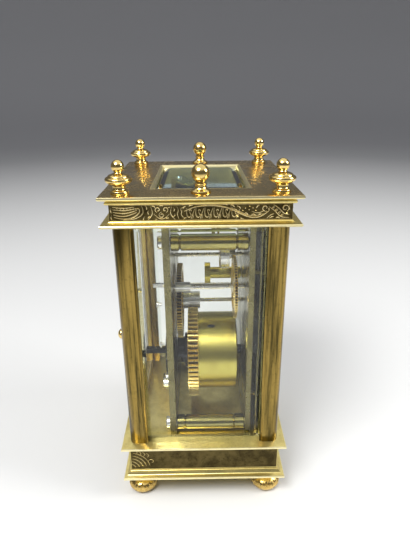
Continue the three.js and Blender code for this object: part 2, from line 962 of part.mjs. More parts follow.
const centrePlace = [0, 0];
const barrelPlace = stepFrom(
  centrePlace,
  centreDistance(greatTeeth, centrePinionLeaves, greatModule),
  barrelBearingDegrees,
);
const thirdPlace = stepFrom(
  centrePlace,
  centreDistance(centreTeeth, thirdPinionLeaves, centreModule),
  thirdBearingDegrees,
);
const contratePlace = stepFrom(
  thirdPlace,
  centreDistance(thirdTeeth, contratePinionLeaves, thirdModule),
  contrateBearingDegrees,
);
const motionDistance = centreDistance(minuteTeeth, cannonLeaves, motionModule);
const hourModule = (2 * motionDistance) / (hourTeeth + minutePinionLeaves);
const minutePlace = stepFrom(centrePlace, motionDistance, minuteBearingDegrees);
const settingPlace = stepFrom(minutePlace, motionDistance, settingBearingDegrees);
const plateBottom = baseTop + gap - dialCentreZ;
const plateTop = plateBottom + plateHeight;
const backPlateFront = backPlateBack + backPlateThickness;
const frontPlateFront = frontPlateBack + frontPlateThickness;
const pillarX = plateWidth / 2 - pillarInsetX;
const pillarPlaces = [
  ['bottom_left', -pillarX, plateBottom + pillarInsetBottom],
  ['bottom_right', pillarX, plateBottom + pillarInsetBottom],
  ['top_left', -pillarX, plateTop - pillarInsetTop],
  ['top_right', pillarX, plateTop - pillarInsetTop],
];
const clickPlace = stepFrom(barrelPlace, ratchetRadius + clickHubRadius + 2 * gap, clickBearingDegrees);
const dialFootPlaces = [
  [-1, -1],
  [1, -1],
  [-1, 1],
  [1, 1],
].map(([sx, sy]) => [
  (sx * dialFootWidthShare * plateWidth) / 2,
  (plateTop + plateBottom) / 2 + (sy * dialFootHeightShare * plateHeight) / 2,
]);

// Plates, each bored for the arbors that run in it
function plateBlank(back, front) {
  return block(-plateWidth / 2, plateWidth / 2, plateBottom, plateTop, back, front);
}

function backPlate() {
  const low = backPlateBack - overrun;
  const high = backPlateFront + overrun;
  const bores = [
    rodAt(...barrelPlace, barrelPivotRadius + gap, low, high, turnedFacets),
    rodAt(...centrePlace, pivotRadius + gap, low, high),
    rodAt(...thirdPlace, pivotRadius + gap, low, high),
    rodAt(...contratePlace, pivotRadius + gap, low, high),
    rodAt(...settingPlace, settingArborRadius + gap, low, high),
    ...pillarPlaces.map(([, x, y]) => rodAt(x, y, pillarScrewRadius + gap, low, high)),
  ];
  const clickStud = joined(
    rodAt(...clickPlace, clickScrewRadius, backPlateBack - ratchetThickness - 2 * gap, backPlateBack + gap),
    rodAt(
      ...clickPlace,
      clickHubRadius - gap,
      backPlateBack - ratchetThickness - 2 * gap - clickScrewHeadHeight,
      backPlateBack - ratchetThickness - 2 * gap,
    ),
  );
  return joined(cut(plateBlank(backPlateBack, backPlateFront), ...bores), clickStud);
}

function frontPlate() {
  const low = frontPlateBack - overrun;
  const high = frontPlateFront + overrun;
  const bores = [
    rodAt(...barrelPlace, barrelPivotRadius + gap, low, high, turnedFacets),
    rodAt(...centrePlace, centreTailRadius + gap, low, high),
    rodAt(...thirdPlace, pivotRadius + gap, low, high),
    rodAt(...contratePlace, pivotRadius + gap, low, high),
    rodAt(...settingPlace, settingArborRadius + gap, low, high),
    rodAt(studPlaceX, studPlaceY, pillarTenonRadius + gap, low, high),
    ...pillarPlaces.map(([, x, y]) => rodAt(x, y, pillarTenonRadius + gap, low, high)),
    ...dialFootPlaces.map(([x, y]) => rodAt(x, y, dialFootRadius + gap, low, high)),
  ];
  const minuteStud = rodAt(
    ...minutePlace,
    minuteStudRadius,
    frontPlateFront - gap,
    frontPlateFront + 2 * (motionWheelThickness + gap),
  );
  return joined(cut(plateBlank(frontPlateBack, frontPlateFront), ...bores), minuteStud);
}

function pillar() {
  const from = backPlateFront + gap;
  const to = frontPlateBack - gap;
  const body = turned(
    [
      [0, from],
      ...scaledProfile(pillarProfileShares, pillarRadius, to - from, from),
      [pillarTenonRadius, to],
      [pillarTenonRadius, frontPlateFront],
      [0, frontPlateFront],
    ],
    turnedFacets,
  );
  const bore = rod(pillarScrewRadius + gap, from - overrun, from + pillarScrewLength + gap);
  return cut(body, bore);
}

function pillarScrew() {
  const seat = backPlateBack - gap;
  const body = turned(
    [
      [0, seat - pillarHeadHeight],
      [pillarHeadRadius - gap, seat - pillarHeadHeight],
      [pillarHeadRadius, seat - pillarHeadHeight + gap],
      [pillarHeadRadius, seat],
      [pillarScrewRadius, seat],
      [pillarScrewRadius, backPlateFront + gap + pillarScrewLength],
      [0, backPlateFront + gap + pillarScrewLength],
    ],
    smallFacets,
  );
  const slot = block(
    -pillarHeadRadius - overrun,
    pillarHeadRadius + overrun,
    -screwSlotWidth / 2,
    screwSlotWidth / 2,
    seat - pillarHeadHeight - overrun,
    seat - pillarHeadHeight + screwSlotDepth,
  );
  return cut(body, slot);
}

addMetal(movement, 'back_plate', backPlate(), agedBrass);
addMetal(movement, 'front_plate', frontPlate(), agedBrass);
for (const [corner, x, y] of pillarPlaces) {
  addMetal(movement, `pillar_${corner}`, pillar(), movementBrass, [x, y, 0]);
  addMetal(movement, `pillar_screw_${corner}`, pillarScrew(), steel, [x, y, 0]);
}

// Barrel with the great wheel, its cap, arbor and mainspring
const greatPhase = (barrelBearingDegrees + 180) * degrees;
const drumBack = greatWheelBack + greatWheelThickness;

function barrel() {
  const teeth = extruded(
    gearOutline(greatTeeth, greatModule, greatPhase, wheelForm),
    greatWheelBack,
    drumBack,
  );
  const drum = rod(drumRadius, drumBack - gap, drumFront, fineFacets);
  const hollow = rod(drumRadius - drumWall, greatWheelBack + drumWebThickness, drumFront + overrun, fineFacets);
  const bore = rod(barrelPivotRadius + gap, greatWheelBack - overrun, drumFront, turnedFacets);
  return cut(joined(teeth, drum), hollow, bore);
}

function barrelCap() {
  const radius = drumRadius - drumWall - gap;
  const back = drumFront - barrelCapThickness;
  const disc = turned(
    [
      [0, back],
      [radius, back],
      [radius, drumFront],
      [radius - barrelCapLip, drumFront + gap],
      [0, drumFront + gap],
    ],
    fineFacets,
  );
  return cut(disc, rod(barrelPivotRadius + gap, back - overrun, drumFront + overrun, turnedFacets));
}

function squareBar(width, from, to) {
  return block(-width / 2, width / 2, -width / 2, width / 2, from, to);
}

const ratchetFront = backPlateBack - gap;
const ratchetBack = ratchetFront - ratchetThickness;
const springBack = greatWheelBack + drumWebThickness + gap;
const springFront = drumFront - barrelCapThickness - gap;

function barrelArbor() {
  const collarBack = backPlateFront + gap;
  const flangeFront = greatWheelBack - gap;
  const flangeBack = flangeFront - barrelFlangeThickness;
  const round = turned(
    [
      [0, ratchetFront],
      [barrelPivotRadius, ratchetFront],
      [barrelPivotRadius, collarBack],
      [barrelCollarRadius, collarBack],
      [barrelCollarRadius, flangeBack],
      [barrelFlangeRadius, flangeBack],
      [barrelFlangeRadius, flangeFront],
      [barrelPivotRadius, flangeFront],
      [barrelPivotRadius, springBack],
      [springHubRadius, springBack],
      [springHubRadius, springFront],
      [barrelPivotRadius, springFront],
      [barrelPivotRadius, frontPlateFront],
      [0, frontPlateFront],
    ],
    turnedFacets,
  );
  const seat = squareBar(ratchetSeatWidth / Math.SQRT2, ratchetBack - gap, ratchetFront + gap);
  const square = squareBar(windingSquareWidth / Math.SQRT2 + gap, -windingSquareReach, ratchetBack);
  return joined(round, seat, square);
}

function ratchetWheel() {
  const points = [];
  for (let tooth = 0; tooth < ratchetTeeth; tooth += 1) {
    const angle = (tooth * 2 * Math.PI) / ratchetTeeth;
    for (const radius of [ratchetRadius - ratchetToothDepth, ratchetRadius]) {
      points.push(new THREE.Vector2(radius * Math.cos(angle), radius * Math.sin(angle)));
    }
  }
  const bore = squareBar(ratchetSeatWidth / Math.SQRT2 + 2 * gap, ratchetBack - overrun, ratchetFront + overrun);
  return cut(extruded(new THREE.Shape(points), ratchetBack, ratchetFront), bore);
}

const mainspringInner = springHubRadius + gap + mainspringThickness;
const mainspringOuter = drumRadius - drumWall - gap - mainspringThickness;

function mainspring() {
  const shape = spiralShape(
    mainspringInner,
    mainspringOuter,
    mainspringTurns,
    mainspringStepsPerTurn,
    mainspringThickness,
  );
  return extruded(shape, springBack + gap, springFront - gap);
}

const barrelAt = [...barrelPlace, 0];
addMetal(movement, 'barrel', barrel(), movementBrass, barrelAt);
addMetal(movement, 'barrel_cap', barrelCap(), movementBrass, barrelAt);
addMetal(movement, 'mainspring', mainspring(), blueSteel, barrelAt);
addMetal(movement, 'barrel_arbor', barrelArbor(), blueSteel, barrelAt);
addMetal(movement, 'ratchet_wheel', ratchetWheel(), blueSteel, barrelAt);

// Click and its spring on the back plate
const clickAway = Math.atan2(clickPlace[1] - barrelPlace[1], clickPlace[0] - barrelPlace[0]);

function click() {
  const hub = cut(
    rod(clickHubRadius, ratchetBack, ratchetFront, turnedFacets),
    rod(clickScrewRadius + gap, ratchetBack - overrun, ratchetFront + overrun),
  );
  const along = clickAway + Math.PI / 2;
  const reach = clickReach;
  const tipRadius = ratchetRadius + gap;
  const hubDistance = ratchetRadius + clickHubRadius + 2 * gap;
  const tipSwing = Math.acos(
    (hubDistance * hubDistance + tipRadius * tipRadius - reach * reach) / (2 * hubDistance * tipRadius),
  );
  const tip = [
    tipRadius * Math.cos(clickAway + tipSwing) - hubDistance * Math.cos(clickAway),
    tipRadius * Math.sin(clickAway + tipSwing) - hubDistance * Math.sin(clickAway),
  ];
  const outer = [
    tip[0] + clickTipWidth * Math.cos(clickAway + tipSwing),
    tip[1] + clickTipWidth * Math.sin(clickAway + tipSwing),
  ];
  const bore = clickScrewRadius + 2 * gap;
  const arm = new THREE.Shape([
    new THREE.Vector2(bore * Math.cos(clickAway), bore * Math.sin(clickAway)),
    new THREE.Vector2(clickHubRadius * Math.cos(clickAway), clickHubRadius * Math.sin(clickAway)),
    new THREE.Vector2(
      clickHubRadius * Math.cos(clickAway + Math.PI / 4),
      clickHubRadius * Math.sin(clickAway + Math.PI / 4),
    ),
    new THREE.Vector2(...outer),
    new THREE.Vector2(...tip),
    new THREE.Vector2(bore * Math.cos(along), bore * Math.sin(along)),
  ]);
  return joined(hub, extruded(arm, ratchetBack, ratchetFront));
}

addMetal(movement, 'click', click(), steel, [...clickPlace, 0]);

function clickSpring() {
  const away = [Math.cos(clickAway), Math.sin(clickAway)];
  const along = [-away[1], away[0]];
  const place = (outward, sideways) =>
    new THREE.Vector2(
      outward * away[0] + sideways * along[0],
      outward * away[1] + sideways * along[1],
    );
  const near = clickHubRadius + clickSpringStandOff;
  const strip = new THREE.Shape([
    place(near, clickSpringLength / 3),
    place(near + clickSpringStandOff, (-2 * clickSpringLength) / 3),
    place(near + clickSpringStandOff + clickSpringThickness, (-2 * clickSpringLength) / 3),
    place(near + clickSpringThickness, clickSpringLength / 3),
  ]);
  const foot = place(near + clickSpringFootRadius, (-2 * clickSpringLength) / 3);
  return joined(
    extruded(strip, ratchetBack, ratchetFront),
    rodAt(foot.x, foot.y, clickSpringFootRadius, ratchetBack - gap, backPlateBack - gap, turnedFacets),
  );
}

addMetal(movement, 'click_spring', clickSpring(), steel, [...clickPlace, 0]);

// Wheels on their arbors
const centrePhase = thirdBearingDegrees * degrees;
const thirdPhase = contrateBearingDegrees * degrees;
const centrePinionPhase = meshedPhase(greatTeeth, greatPhase, greatPhase, centrePinionLeaves);
const thirdPinionPhase = meshedPhase(centreTeeth, centrePhase, centrePhase, thirdPinionLeaves);
const contratePinionPhase = meshedPhase(thirdTeeth, thirdPhase, thirdPhase, contratePinionLeaves);

function crossedWheel(teeth, module, phase, from, to) {
  const outline = gearOutline(teeth, module, phase, pointedForm);
  const rim = rootRadiusOf(teeth, module, pointedForm) - wheelRimWidth;
  outline.holes.push(...crossings(rim, wheelHubRadius, spokeCount, spokeWidth, phase));
  return extruded(outline, from, to, 3);
}

function pinion(leaves, module, phase, from, to) {
  return extruded(gearOutline(leaves, module, phase, leafForm), from, to);
}

// A steel arbor that steps from pivot to pivot: [radius, end] for each length after the start
function steppedArbor(start, steps) {
  const points = [[0, start]];
  let height = start;
  for (const [radius, end] of steps) {
    points.push([radius, height], [radius, end]);
    height = end;
  }
  points.push([0, height]);
  return turned(points, smallFacets);
}

const backShoulder = backPlateFront + gap;
const frontShoulder = frontPlateBack - gap;
const motionBack = frontPlateFront + gap;
const hourBack = motionBack + motionWheelThickness + gap;
const dialBackingBack = hourBack + motionWheelThickness + gap;
const dialBack = dialBackingBack + dialBackingThickness + gap;
const hourHandBack = dialBack + dialThickness + gap;
const minuteHandBack = hourHandBack + handThickness + gap;

function centreWheel() {
  const wheelFront = centreWheelBack + centreWheelThickness;
  return joined(
    crossedWheel(centreTeeth, centreModule, centrePhase, centreWheelBack, wheelFront),
    pinion(centrePinionLeaves, greatModule, centrePinionPhase, wheelFront, centrePinionFront),
    steppedArbor(backPlateBack, [
      [pivotRadius, backShoulder],
      [arborRadius, frontShoulder],
      [centreTailRadius, minuteHandBack - gap],
    ]),
  );
}

function thirdWheel() {
  const wheelFront = thirdWheelBack + thirdWheelThickness;
  const pinionBack = centreWheelBack - gap;
  return joined(
    crossedWheel(thirdTeeth, thirdModule, thirdPhase, thirdWheelBack, wheelFront),
    pinion(thirdPinionLeaves, centreModule, thirdPinionPhase, pinionBack, thirdPinionFront),
    steppedArbor(backPlateBack, [
      [pivotRadius, backShoulder],
      [arborRadius, thirdPinionFront],
      [thirdBodyRadius, thirdBodyFront],
      [arborRadius, frontShoulder],
      [pivotRadius, frontPlateFront],
    ]),
  );
}

const contratePitchRadius = (contrateTeeth * contrateModule) / 2;
const contrateBack = contrateTipFront + contrateRimDepth;

function contrateWheel() {
  const outer = contratePitchRadius + contrateRimWidth / 2;
  const inner = contratePitchRadius - contrateRimWidth / 2;
  const depth = (wheelAddendumShare + wheelDedendumShare) * contrateModule;
  const cup = cut(
    rod(outer, contrateTipFront, contrateBack, fineFacets),
    rod(inner, contrateTipFront - overrun, contrateBack - contrateWeb, fineFacets),
  );
  const slotWidth = (Math.PI * contrateModule * (1 - (wheelTipShare + wheelRootShare) / 2));
  const slots = [];
  for (let pair = 0; pair < contrateTeeth / 2; pair += 1) {
    const slot = block(
      -outer - overrun,
      outer + overrun,
      -slotWidth / 2,
      slotWidth / 2,
      contrateTipFront - overrun,
      contrateTipFront + depth,
    );
    slots.push(slot.rotate([0, 0, 90 + ((pair + 0.5) * 360) / contrateTeeth]));
  }
  const pinionBack = contrateBack + gap;
  return joined(
    cut(cup, ...slots),
    pinion(contratePinionLeaves, thirdModule, contratePinionPhase, pinionBack, pinionBack + contratePinionLength),
    steppedArbor(backPlateBack, [
      [pivotRadius, backShoulder],
      [arborRadius, frontShoulder],
      [pivotRadius, frontPlateFront],
    ]),
  );
}

addMetal(movement, 'centre_wheel', centreWheel(), movementBrass, [...centrePlace, 0]);
addMetal(movement, 'third_wheel', thirdWheel(), movementBrass, [...thirdPlace, 0]);
addMetal(movement, 'contrate_wheel', contrateWheel(), movementBrass, [...contratePlace, 0]);

// Turned stud with a flange, riveted into the front plate
function flangedStud() {
  const flangeFront = studFlangeBack + studFlangeThickness;
  return turned(
    [
      [0, studFlangeBack],
      [studFlangeRadius, studFlangeBack],
      [studFlangeRadius, flangeFront],
      [studBodyRadius, flangeFront],
      [studBodyRadius, frontShoulder],
      [pillarTenonRadius, frontShoulder],
      [pillarTenonRadius, frontPlateFront],
      [0, frontPlateFront],
    ],
    turnedFacets,
  );
}

addMetal(movement, 'flanged_stud', flangedStud(), movementBrass, [studPlaceX, studPlaceY, 0]);

// Motion work and hand setting
const cannonPhase = minuteBearingDegrees * degrees;
const minutePhase = meshedPhase(cannonLeaves, cannonPhase, cannonPhase, minuteTeeth);
const settingPhase = meshedPhase(
  minuteTeeth,
  minutePhase,
  settingBearingDegrees * degrees,
  cannonLeaves,
);
const hourPhase = minuteBearingDegrees * degrees;
const minutePinionPhase = meshedPhase(hourTeeth, hourPhase, hourPhase, minutePinionLeaves);
const hourFront = hourBack + motionWheelThickness;

function cannonPinion() {
  const body = joined(
    pinion(cannonLeaves, motionModule, cannonPhase, motionBack, motionBack + motionWheelThickness),
    rod(cannonRadius, motionBack, minuteHandBack - gap, turnedFacets),
  );
  return cut(body, rod(cannonBoreRadius, motionBack - overrun, minuteHandBack + overrun));
}

function minuteWheel() {
  const body = joined(
    extruded(
      gearOutline(minuteTeeth, motionModule, minutePhase, pointedForm),
      motionBack,
      motionBack + motionWheelThickness,
    ),
    pinion(minutePinionLeaves, hourModule, minutePinionPhase, motionBack + motionWheelThickness, hourFront),
  );
  return cut(body, rod(minuteStudRadius + gap, motionBack - overrun, hourFront + overrun));
}

function hourWheel() {
  const body = joined(
    extruded(gearOutline(hourTeeth, hourModule, hourPhase, pointedForm), hourBack, hourFront),
    rod(hourPipeRadius, hourBack, hourHandBack + handThickness, turnedFacets),
  );
  return cut(body, rod(cannonRadius + gap, hourBack - overrun, minuteHandBack, turnedFacets));
}

function handSettingArbor() {
  return joined(
    pinion(cannonLeaves, motionModule, settingPhase, motionBack, motionBack + motionWheelThickness),
    steppedArbor(settingSquareLength - settingReach - gap, [[settingArborRadius, motionBack + gap]]),
    squareBar(settingSquareWidth, -settingReach, settingSquareLength - settingReach),
  );
}

addMetal(movement, 'cannon_pinion', cannonPinion(), steel, [...centrePlace, 0]);
addMetal(movement, 'minute_wheel', minuteWheel(), movementBrass, [...minutePlace, 0]);
addMetal(movement, 'hour_wheel', hourWheel(), movementBrass, [...centrePlace, 0]);
addMetal(movement, 'hand_setting_arbor', handSettingArbor(), steel, [...settingPlace, 0]);

// Dial and its backing
function dialBacking() {
  const blank = block(
    -dialWidth / 2,
    dialWidth / 2,
    plateBottom,
    plateTop,
    dialBackingBack,
    dialBackingBack + dialBackingThickness,
  );
  const feet = dialFootPlaces.map(([x, y]) =>
    rodAt(x, y, dialFootRadius, frontPlateBack + gap, dialBackingBack + gap),
  );
  const hole = rod(hourPipeRadius + gap, dialBackingBack - overrun, dialBack, turnedFacets);
  return joined(cut(blank, hole), ...feet);
}

function dialPlate() {
  const front = dialBack + dialThickness;
  const middle = (plateBottom + plateTop) / 2;
  const plate = rectangularLoft(dialWidth / 2, plateHeight / 2, [
    [0, dialBack],
    [0, dialBack + dialThickness / 2],
    [dialThickness / 2, front],
  ]).translate([0, middle, 0]);
  return cut(plate, rod(hourPipeRadius + gap, dialBack - overrun, front + overrun, turnedFacets));
}

addMetal(movement, 'dial_backing', dialBacking(), polishedBrass);
add(movement, 'dial_plate', dialPlate(), enamelMaterial());

// Spade hands, drawn upright and turned to ten past ten
const hourHandShares = [
  [0.05, 0.25],
  [0.035, 0.56],
  [0.15, 0.68],
  [0.11, 0.78],
  [0.03, 0.88],
  [0, 1],
];
const minuteHandShares = [
  [0.035, 0.1],
  [0.025, 0.66],
  [0.085, 0.75],
  [0.06, 0.82],
  [0.02, 0.9],
  [0, 1],
];

function spadeBlade(shares, length) {
  const right = shares.map(([x, y]) => new THREE.Vector2(x * length, y * length));
  const left = shares.slice(0, -1).map(([x, y]) => new THREE.Vector2(-x * length, y * length));
  return new THREE.Shape([...right, ...left.reverse()]);
}

function hourHand() {
  const front = hourHandBack + handThickness;
  const boss = cut(
    rod(handBossRadius, hourHandBack, front, turnedFacets),
    rod(hourPipeRadius + gap, hourHandBack - overrun, front + overrun, turnedFacets),
  );
  return joined(boss, extruded(spadeBlade(hourHandShares, hourHandLength), hourHandBack, front));
}

function minuteHand() {
  const front = minuteHandBack + handThickness;
  return joined(
    rod(hourPipeRadius, minuteHandBack, front, turnedFacets),
    rod(cannonRadius, front, front + handNutHeight, turnedFacets),
    extruded(spadeBlade(minuteHandShares, minuteHandLength), minuteHandBack, front),
  );
}

const hourHandMesh = addMetal(movement, 'hour_hand', hourHand(), blueSteel, [...centrePlace, 0]);
hourHandMesh.rotation.z = (-2 * Math.PI * (hourShown + minuteShown / minutesInHour)) / hoursOnDial;
const minuteHandMesh = addMetal(movement, 'minute_hand', minuteHand(), blueSteel, [...centrePlace, 0]);
minuteHandMesh.rotation.z = (-2 * Math.PI * minuteShown) / minutesInHour;

// Platform and escapement, upright again: heights are measured from the floor
const platformBottom = dialCentreZ + plateTop + gap;
const platformTop = platformBottom + platformThickness;
const contrateAxisZ = dialCentreZ + contratePlace[1];
const escapePinionPitch = (escapePinionLeaves * contrateModule) / 2;
const escapeY = escapePinionPitch - contrateTipFront - wheelAddendumShare * contrateModule;
const escapePlace = [contratePlace[0], escapeY];
const leverPlace = stepFrom(escapePlace, palletDistanceShare * escapeRadius, leverBearingDegrees);
const balancePlace = stepFrom(leverPlace, balanceOffset, leverBearingDegrees);
const escapePinionMiddle = contrateAxisZ + contratePitchRadius;
const escapePinionBottom = escapePinionMiddle - escapePinionLength / 2;
const escapeWheelBottom = platformTop + 2 * gap;
const escapeWheelTop = escapeWheelBottom + escapeThickness;
const bridgeBottom = escapeWheelTop + escapeRise / 2;
const bridgeTop = bridgeBottom + bridgeThickness;
const bridgeFootX = escapeRadius + gap + bridgeWidth / 2;
const balanceBottom = bridgeTop + gap;
const balanceTop = balanceBottom + balanceRimHeight;
const hairspringBottom = balanceTop + gap;
const hairspringTop = hairspringBottom + hairspringHeight;
const cockBottom = hairspringTop + gap;
const cockTop = cockBottom + cockThickness;

function platform() {
  const plate = block(
    -platformWidth / 2,
    platformWidth / 2,
    -frontPlateFront,
    -backPlateBack,
    platformBottom,
    platformTop,
  );
  const low = platformBottom - overrun;
  const high = platformTop + overrun;
  const [escapeX] = escapePlace;
  const footBottom = escapePinionBottom - gap - potenceFootThickness;
  const upright = block(
    escapeX - potenceWidth / 2,
    escapeX + potenceWidth / 2,
    escapeY + potenceWidth / 2,
    escapeY + potenceWidth,
    footBottom,
    platformBottom + gap,
  );
  const potenceFoot = block(
    escapeX - potenceWidth / 2,
    escapeX + potenceWidth / 2,
    escapeY - potenceWidth / 2,
    escapeY + potenceWidth,
    footBottom,
    escapePinionBottom - gap,
  );
  return cut(
    joined(plate, upright, potenceFoot),
    rodAt(...escapePlace, arborRadius + gap, low, high),
    rodAt(...escapePlace, staffRadius / 2 + gap, footBottom - overrun, escapePinionBottom),
    rodAt(...leverPlace, staffRadius / 2 + gap, low, high),
    rodAt(...balancePlace, staffRadius / 2 + gap, low, high),
  );
}

function escapeWheel() {
  const points = [];
  for (let tooth = 0; tooth < escapeTeeth; tooth += 1) {
    const angle = (tooth * 2 * Math.PI) / escapeTeeth;
    const pitch = (2 * Math.PI) / escapeTeeth;
    for (const [radius, share] of [
      [escapeRadius - escapeToothDepth, 0],
      [escapeRadius, 0.3],
      [escapeRadius, 0.42],
      [escapeRadius - escapeToothDepth, 0.5],
    ]) {
      points.push(
        new THREE.Vector2(
          radius * Math.cos(angle + share * pitch),
          radius * Math.sin(angle + share * pitch),
        ),
      );
    }
  }
  const outline = new THREE.Shape(points);
  const rim = escapeRadius - escapeToothDepth - staffRadius;
  outline.holes.push(...crossings(rim, 2 * staffRadius, spokeCount, staffRadius));
  const leafPhase = Math.PI / escapePinionLeaves - Math.PI / 2;
  return joined(
    extruded(outline, escapeWheelBottom, escapeWheelTop, 3),
    extruded(
      gearOutline(escapePinionLeaves, contrateModule, leafPhase, leafForm),
      escapePinionBottom,
      escapePinionBottom + escapePinionLength,
    ),
    steppedArbor(escapePinionBottom - gap - potenceFootThickness, [
      [staffRadius / 2, escapePinionBottom],
      [staffRadius, bridgeBottom - gap],
      [staffRadius / 2, bridgeTop],
    ]),
  );
}

// The lever is drawn along X from its pivot and turned to face the balance
function palletLever() {
  const half = leverWidth / 2;
  const palletOuter = palletArmShare * escapeRadius;
  const palletInner = palletOuter - leverWidth;
  const palletEnd = -(palletDistanceShare - 1) * escapeRadius;
  const outline = new THREE.Shape([
    new THREE.Vector2(half, half),
    new THREE.Vector2(leverLength - forkDepth, half),
    new THREE.Vector2(leverLength, forkWidth / 2),
    new THREE.Vector2(leverLength, forkSlot / 2),
    new THREE.Vector2(leverLength - forkDepth, forkSlot / 2),
    new THREE.Vector2(leverLength - forkDepth, -forkSlot / 2),
    new THREE.Vector2(leverLength, -forkSlot / 2),
    new THREE.Vector2(leverLength, -forkWidth / 2),
    new THREE.Vector2(leverLength - forkDepth, -half),
    new THREE.Vector2(half, -half),
    new THREE.Vector2(half, -palletOuter),
    new THREE.Vector2(palletEnd, -palletOuter),
    new THREE.Vector2(palletEnd, -palletInner),
    new THREE.Vector2(-half, -palletInner),
    new THREE.Vector2(-half, palletInner),
    new THREE.Vector2(palletEnd, palletInner),
    new THREE.Vector2(palletEnd, palletOuter),
    new THREE.Vector2(half, palletOuter),
  ]);
  return joined(
    extruded(outline, escapeWheelBottom, escapeWheelBottom + leverThickness),
    steppedArbor(platformBottom, [
      [staffRadius / 2, platformTop + gap],
      [staffRadius, bridgeBottom - gap],
      [staffRadius / 2, bridgeTop],
    ]),
  );
}

function escapementBridge() {
  const [x, y] = escapePlace;
  const bar = block(
    x - bridgeFootX - bridgeWidth / 2,
    x + bridgeFootX + bridgeWidth / 2,
    y - bridgeWidth / 2,
    y + bridgeWidth / 2,
    bridgeBottom,
    bridgeTop,
  );
  const arm = block(
    0,
    palletDistanceShare * escapeRadius + bridgeWidth / 2,
    -bridgeWidth / 2,
    bridgeWidth / 2,
    bridgeBottom,
    bridgeTop,
  )
    .rotate([0, 0, leverBearingDegrees])
    .translate([x, y, 0]);
  const feet = [-1, 1].map((side) =>
    rodAt(x + side * bridgeFootX, y, bridgeWidth / 2 - gap / 2, platformTop + gap, bridgeBottom + gap),
  );
  const low = bridgeBottom - overrun;
  const high = bridgeTop + overrun;
  return cut(
    joined(bar, arm, ...feet),
    rodAt(x, y, staffRadius / 2 + gap, low, high),
    rodAt(...leverPlace, staffRadius / 2 + gap, low, high),
  );
}

function balanceWheel() {
  const outline = new THREE.Shape();
  outline.absarc(0, 0, balanceRadius, 0, 2 * Math.PI, false);
  outline.holes.push(...crossings(balanceRadius - balanceRimWidth, rollerRadius, 2, balanceArmWidth));
  const rollerTop = bridgeBottom + gap;
  const pin = rodAt(
    -rollerRadius + 2 * rollerPinRadius,
    0,
    rollerPinRadius,
    escapeWheelTop + gap,
    rollerTop,
  ).rotate([0, 0, leverBearingDegrees]);
  return joined(
    extruded(outline, balanceBottom, balanceTop, turnedFacets),
    steppedArbor(platformBottom, [
      [staffRadius / 2, platformTop + gap],
      [staffRadius, rollerTop - gap],
      [rollerRadius, rollerTop],
      [2 * staffRadius, hairspringTop],
      [staffRadius / 2, cockTop],
    ]),
    pin,
  );
}

function hairspring() {
  const shape = spiralShape(
    hairspringInnerRadius,
    hairspringOuterRadius,
    hairspringTurns,
    hairspringStepsPerTurn,
    hairspringThickness,
  );
  return extruded(shape, hairspringBottom, hairspringTop);
}

function balanceCock() {
  const reach = balanceRadius + 2 * gap + cockFootWidth / 2;
  const arm = new THREE.Shape();
  arm.moveTo(reach + cockFootWidth / 2, cockFootWidth / 2);
  arm.lineTo(reach - cockFootWidth / 2, cockFootWidth / 2);
  arm.lineTo(0, cockWidth / 2);
  arm.absarc(0, 0, cockWidth / 2, Math.PI / 2, 1.5 * Math.PI, false);
  arm.lineTo(reach - cockFootWidth / 2, -cockFootWidth / 2);
  arm.lineTo(reach + cockFootWidth / 2, -cockFootWidth / 2);
  const foot = block(
    reach - cockFootWidth / 2,
    reach + cockFootWidth / 2,
    -cockFootWidth / 2,
    cockFootWidth / 2,
    platformTop + gap,
    cockBottom + gap,
  );
  const springStud = rodAt(
    hairspringOuterRadius + hairspringThickness + gap + staffRadius,
    0,
    staffRadius,
    hairspringBottom,
    cockBottom + gap,
  );
  const body = joined(extruded(arm, cockBottom, cockTop), foot, springStud);
  return cut(body, rod(staffRadius / 2 + gap, cockBottom - overrun, cockTop + overrun)).rotate([
    0,
    0,
    cockBearingDegrees,
  ]);
}

addMetal(escapement, 'platform', platform(), polishedBrass);
addMetal(escapement, 'escape_wheel', escapeWheel(), steel, [...escapePlace, 0]);
const leverMesh = addMetal(escapement, 'pallet_lever', palletLever(), steel, [...leverPlace, 0]);
leverMesh.rotation.z = leverBearingDegrees * degrees;
addMetal(escapement, 'escapement_bridge', escapementBridge(), polishedBrass);
addMetal(escapement, 'balance_wheel', balanceWheel(), polishedBrass, [...balancePlace, 0]);
addMetal(escapement, 'hairspring', hairspring(), blueSteel, [...balancePlace, 0]);
addMetal(escapement, 'balance_cock', balanceCock(), polishedBrass, [...balancePlace, 0]);

// The least gap between neighbouring turns of each spiral spring
console.log(
  'least gap in the springs:',
  spiralLeastGap(
    mainspringInner,
    mainspringOuter,
    mainspringTurns,
    mainspringStepsPerTurn,
    mainspringThickness,
  ).toFixed(2),
  spiralLeastGap(
    hairspringInnerRadius,
    hairspringOuterRadius,
    hairspringTurns,
    hairspringStepsPerTurn,
    hairspringThickness,
  ).toFixed(2),
);

export default clock;
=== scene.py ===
# %% [markdown]
# A small officer's carriage clock in polished brass and bevelled glass.
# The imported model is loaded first, as a fixed frame in metres. Some of its solids stay and get a
# finish, and the others are hidden behind finer pieces that stand in the same places.

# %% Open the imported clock
import json
import math

import bpy
from mathutils import Matrix, Vector


